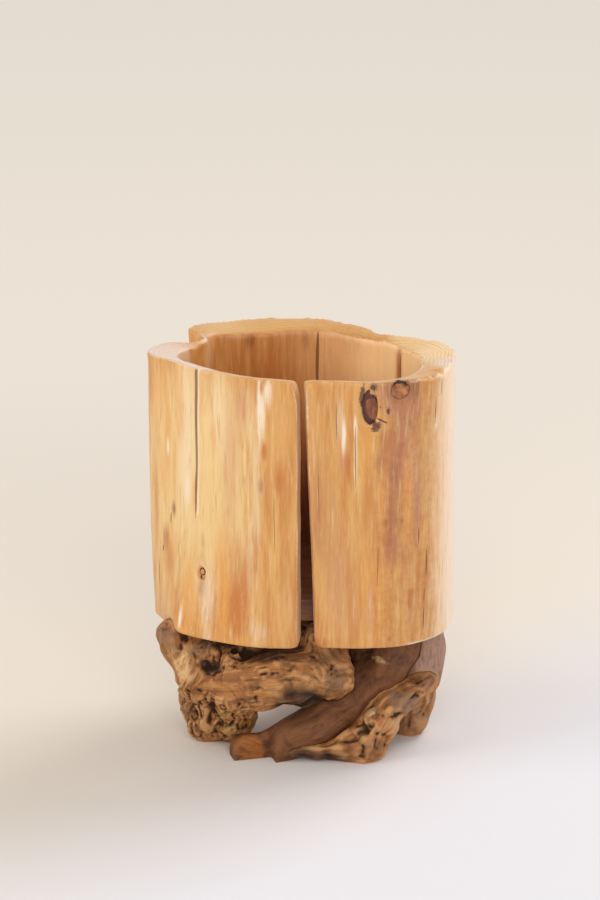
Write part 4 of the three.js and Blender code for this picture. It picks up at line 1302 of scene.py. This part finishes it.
# %% Sapwood: worn edges with a painted highlight, torn chips and slits
# The pale edges are partly rubbed wood and partly a painted highlight, widest along the front crest.
abraded_edge_and_highlight = times_plus(tree, noise(tree, spot, 260.0, 3.0, 0.6), 1.2, read(tree, "abrasion_and_painted_light"))
colour = blended(tree, stepped(tree, abraded_edge_and_highlight, 0.9, 2.0, 0.75, 0.0), colour, paint(250, 226, 190))
torn = times_plus(tree, noise(tree, spot, 330.0, 3.0, 0.7, 1.5), 1.8, read(tree, "chipped"))
colour = blended(tree, stepped(tree, torn, 1.85, 2.1, 0.0, 0.7), colour, paint(250, 236, 224))
beside = sum_of(tree, "ABSOLUTE", read(tree, "slit"))
edge = sum_of(tree, "DIVIDE", beside, sum_of(tree, "MAXIMUM", read(tree, "slit_width"), 0.02))
open_slit = stepped(tree, edge, 0.5, 1.15, 1.0, 0.0)
colour = blended(tree, times(tree, open_slit, 0.8), colour, paint(98, 50, 24))

# %% Sapwood: scars of bark beside the upper knot
# Middle x and z in mm, half width, half height, lean in degrees
SCARS = [
    (55.6, 324.4, 2.2, 2.8, 0), (47.0, 318.0, 2.4, 11.0, 6), (58.3, 292.6, 3.8, 5.4, 35),
    (56.2, 296.4, 5.2, 1.8, 50), (62.8, 297.6, 5.4, 1.0, 28), (67.6, 305.0, 1.5, 2.8, 0),
    (61.5, 309.0, 0.7, 1.2, 0),
]
scar, door, out = new_group("oval scar", [("Place", "Vector"), ("Fray", "Float")], [("Inside", "Float")])
reach = add(scar, "VectorMath", {"operation": "LENGTH"}, {0: door.outputs["Place"]}).outputs["Value"]
reach = times_plus(scar, door.outputs["Fray"], 0.9, reach)
scar.links.new(stepped(scar, reach, 1.15, 1.45, 1.0, 0.0), out.inputs["Inside"])
ragged = noise(tree, spot, 600.0)
mottle = stepped(tree, noise(tree, spot, 420.0), 0.4, 0.6)
scar_colour = blended(tree, mottle, paint(60, 28, 28), paint(112, 66, 52))
for x, z, half_width, half_height, lean in SCARS:
    inputs = {"Vector": spot, "Location": (x * MM, -88 * MM, z * MM), "Rotation": (0, math.radians(lean), 0)}
    inputs["Scale"] = (half_width * MM, 30 * MM, half_height * MM)
    placed = add(tree, "Mapping", {"vector_type": "TEXTURE"}, inputs)
    inside = use(tree, scar, {"Place": placed.outputs[0], "Fray": ragged}).outputs["Inside"]
    colour = blended(tree, times(tree, inside, 0.88), colour, scar_colour)

# %% Sapwood: gloss, bump and sheen
height = times_plus(tree, open_slit, -1.0, times(tree, wood.outputs["Fibres"], 0.35))
gloss = stepped(tree, wood.outputs["Fibres"], 0.3, 0.7, 0.36, 0.5)
coat(tree, shader, colour, gloss, height, 0.5, 0.35)
fill(tree, shader, {"Sheen Weight": 0.35, "Sheen Roughness": 0.4, "Sheen Tint": paint(255, 240, 226)})

# %% Knot wood
knotwood, tree, shader = new_material("dead knot")
wood = use(tree, fibres, {"Grain": read(tree, "grain", "Vector"), "Streak width": 2.4, "Fibre width": 0.5})
streaks = stepped(tree, wood.outputs["Streaks"], 0.35, 0.65)
colour = blended(tree, streaks, paint(190, 126, 68), paint(208, 148, 90))
dark_heart = blended(tree, streaks, paint(84, 34, 18), paint(146, 76, 42))
pale_heart = blended(tree, streaks, paint(186, 118, 66), paint(212, 152, 98))
heart_colour = blended(tree, read(tree, "pale"), dark_heart, pale_heart)
colour = blended(tree, read(tree, "heart"), colour, heart_colour)
frayed_bark = times_plus(tree, wood.outputs["Fibres"], 0.5, read(tree, "bark"))
bark_tone = stepped(tree, wood.outputs["Clouds"], 0.4, 0.62)
bark_colour = blended(tree, bark_tone, paint(38, 19, 20), paint(92, 52, 44))
colour = blended(tree, stepped(tree, frayed_bark, 0.5, 0.95), colour, bark_colour)
roughness = stepped(tree, read(tree, "bark"), 0.2, 0.9, 0.55, 0.75)
coat(tree, shader, colour, roughness, wood.outputs["Fibres"], 0.5, 0.3)

# %% [markdown]
# ## The sawn pieces
# The floor board and the pegs are plain sawn wood. Their shapes are simple, so they read Object coordinates.
# These are pressed together along one axis, and the grain runs that way.

# %% Board and peg wood
def sawn_wood(name, stretch, light, dark, width):
    """Plain straight-grained wood on Object coordinates."""
    material, tree, shader = new_material(name)
    spot = add(tree, "Mapping", {"vector_type": "POINT"}, {"Vector": own_place(tree), "Scale": stretch})
    spot = spot.outputs[0]
    wood = use(tree, fibres, {"Grain": spot, "Streak width": width, "Fibre width": 0.8}).outputs
    depth = times(tree, wood["Clouds"], 40.0)
    growth = use(tree, rings, {"Depth": depth, "Spacing": 3.0, "Grain": spot})
    colour = blended(tree, stepped(tree, wood["Streaks"], 0.3, 0.7), dark, light)
    colour = blended(tree, times(tree, growth.outputs["Ring"], 0.35), colour, dark)
    colour = blended(tree, stepped(tree, wood["Fibres"], 0.45, 0.8, 0.0, 0.35), colour, dark, "MULTIPLY")
    roughness = stepped(tree, wood["Streaks"], 0.3, 0.7, 0.5, 0.62)
    coat(tree, shader, colour, roughness, wood["Fibres"], 0.4, 0.25)
    return material


boardwood = sawn_wood("sawn board", (90, 1000, 1000), paint(128, 82, 48), paint(88, 52, 28), 5.0)
pegwood = sawn_wood("turned peg", (1000, 1000, 300), paint(214, 172, 118), paint(170, 120, 70), 2.5)

# %% [markdown]
# ## The root's finish
# Brushed root wood is light on its ridges and nearly black in its hollows; that black is partly dirt and
# partly painted shade. Long noise along each limb gives the fibres, the stains give each limb its own colour
# and some painted light, and the crossing limb is smoother and darker.

# %% Root wood
def root_wood(name, dark, middle, light, crevice, rub, gloss):
    """Gnarled wood, coloured by ridge and hollow, with fibres along the limb."""
    material, tree, shader = new_material(name)
    inputs = {"Grain": read(tree, "grain", "Vector"), "Streak width": 5.0, "Fibre width": 0.9}
    wood = use(tree, fibres, inputs).outputs
    colour = blended(tree, stepped(tree, wood["Streaks"], 0.2, 0.62), dark, middle)
    colour = blended(tree, stepped(tree, wood["Clouds"], 0.45, 0.75, 0.0, 0.6), colour, light)
    colour, stain_and_painted_light = stains_and_light_over(tree, colour, wood["Streaks"], 0.6)
    tone = stepped(tree, read(tree, "block"), 0.0, 1.0, 0.0, 0.35)
    colour = blended(tree, tone, colour, dark, "MULTIPLY")
    murk = stepped(tree, noise(tree, own_place(tree), 75.0, 4.0, 0.6, 0.8), 0.5, 0.66, 0.0, 0.55)
    colour = blended(tree, murk, colour, dark)
    lines = stepped(tree, wood["Fibres"], 0.48, 0.72, 0.0, 0.55)
    colour = blended(tree, lines, colour, dark, "MULTIPLY")
    rubbed_stain = blended(tree, 0.2, stain_and_painted_light["Color"], light)
    inputs = {"Base": colour, "Ridge": read(tree, "ridge"), "Crevice tint": paint(36, 20, 13)}
    inputs |= {"Ridge tint": blended(tree, stain_and_painted_light["Alpha"], light, rubbed_stain)}
    inputs |= {"Crevice": crevice, "Rub": rub}
    abrasion_and_painted_light = use(tree, ridge_rub_and_crevice_shade, inputs)
    height = times_plus(tree, wood["Streaks"], 1.5, wood["Fibres"])
    roughness = stepped(tree, read(tree, "ridge"), -0.6, 0.7, gloss + 0.25, gloss)
    coat(tree, shader, abrasion_and_painted_light.outputs["Color"], roughness, height, 0.9, 0.7)
    fill(tree, shader, {"Specular IOR Level": 0.25})
    return material


ROOT_TONES = paint(104, 64, 37), paint(182, 121, 70), paint(224, 170, 112)
DARK_TONES = paint(84, 48, 28), paint(118, 72, 42), paint(150, 100, 64)
rootwood = root_wood("brushed root", *ROOT_TONES, 0.9, 0.6, 0.5)
darkroot = root_wood("dark root", *DARK_TONES, 0.6, 0.3, 0.5)

# %% [markdown]
# ## Dress the model
# Each new piece rides on the vase's one body, takes the place of its CAD node, which is hidden, and gets its
# finish.
# The pegs' CAD shapes are right as they are, so they only get their wood.

# %% Set the pieces on the frame
def dress(piece, node, material):
    """Gives a piece its finish and its place in the model."""
    piece.data.materials.clear()
    piece.data.materials.append(material)
    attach(piece, "root")
    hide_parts(node)


dress(stave_left, "shell_left", sapwood)
dress(stave_right, "shell_right", sapwood)
dress(board, "floor_board", boardwood)
for node, knot in knots.items():
    dress(knot, node, knotwood)
for node, limb in limbs.items():
    dark_limb = node == "root_cross_limb"
    dress(limb, node, darkroot if dark_limb else rootwood)
for node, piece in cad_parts.items():
    if node.startswith("peg_"):
        for seat in piece.material_slots:
            seat.material = pegwood
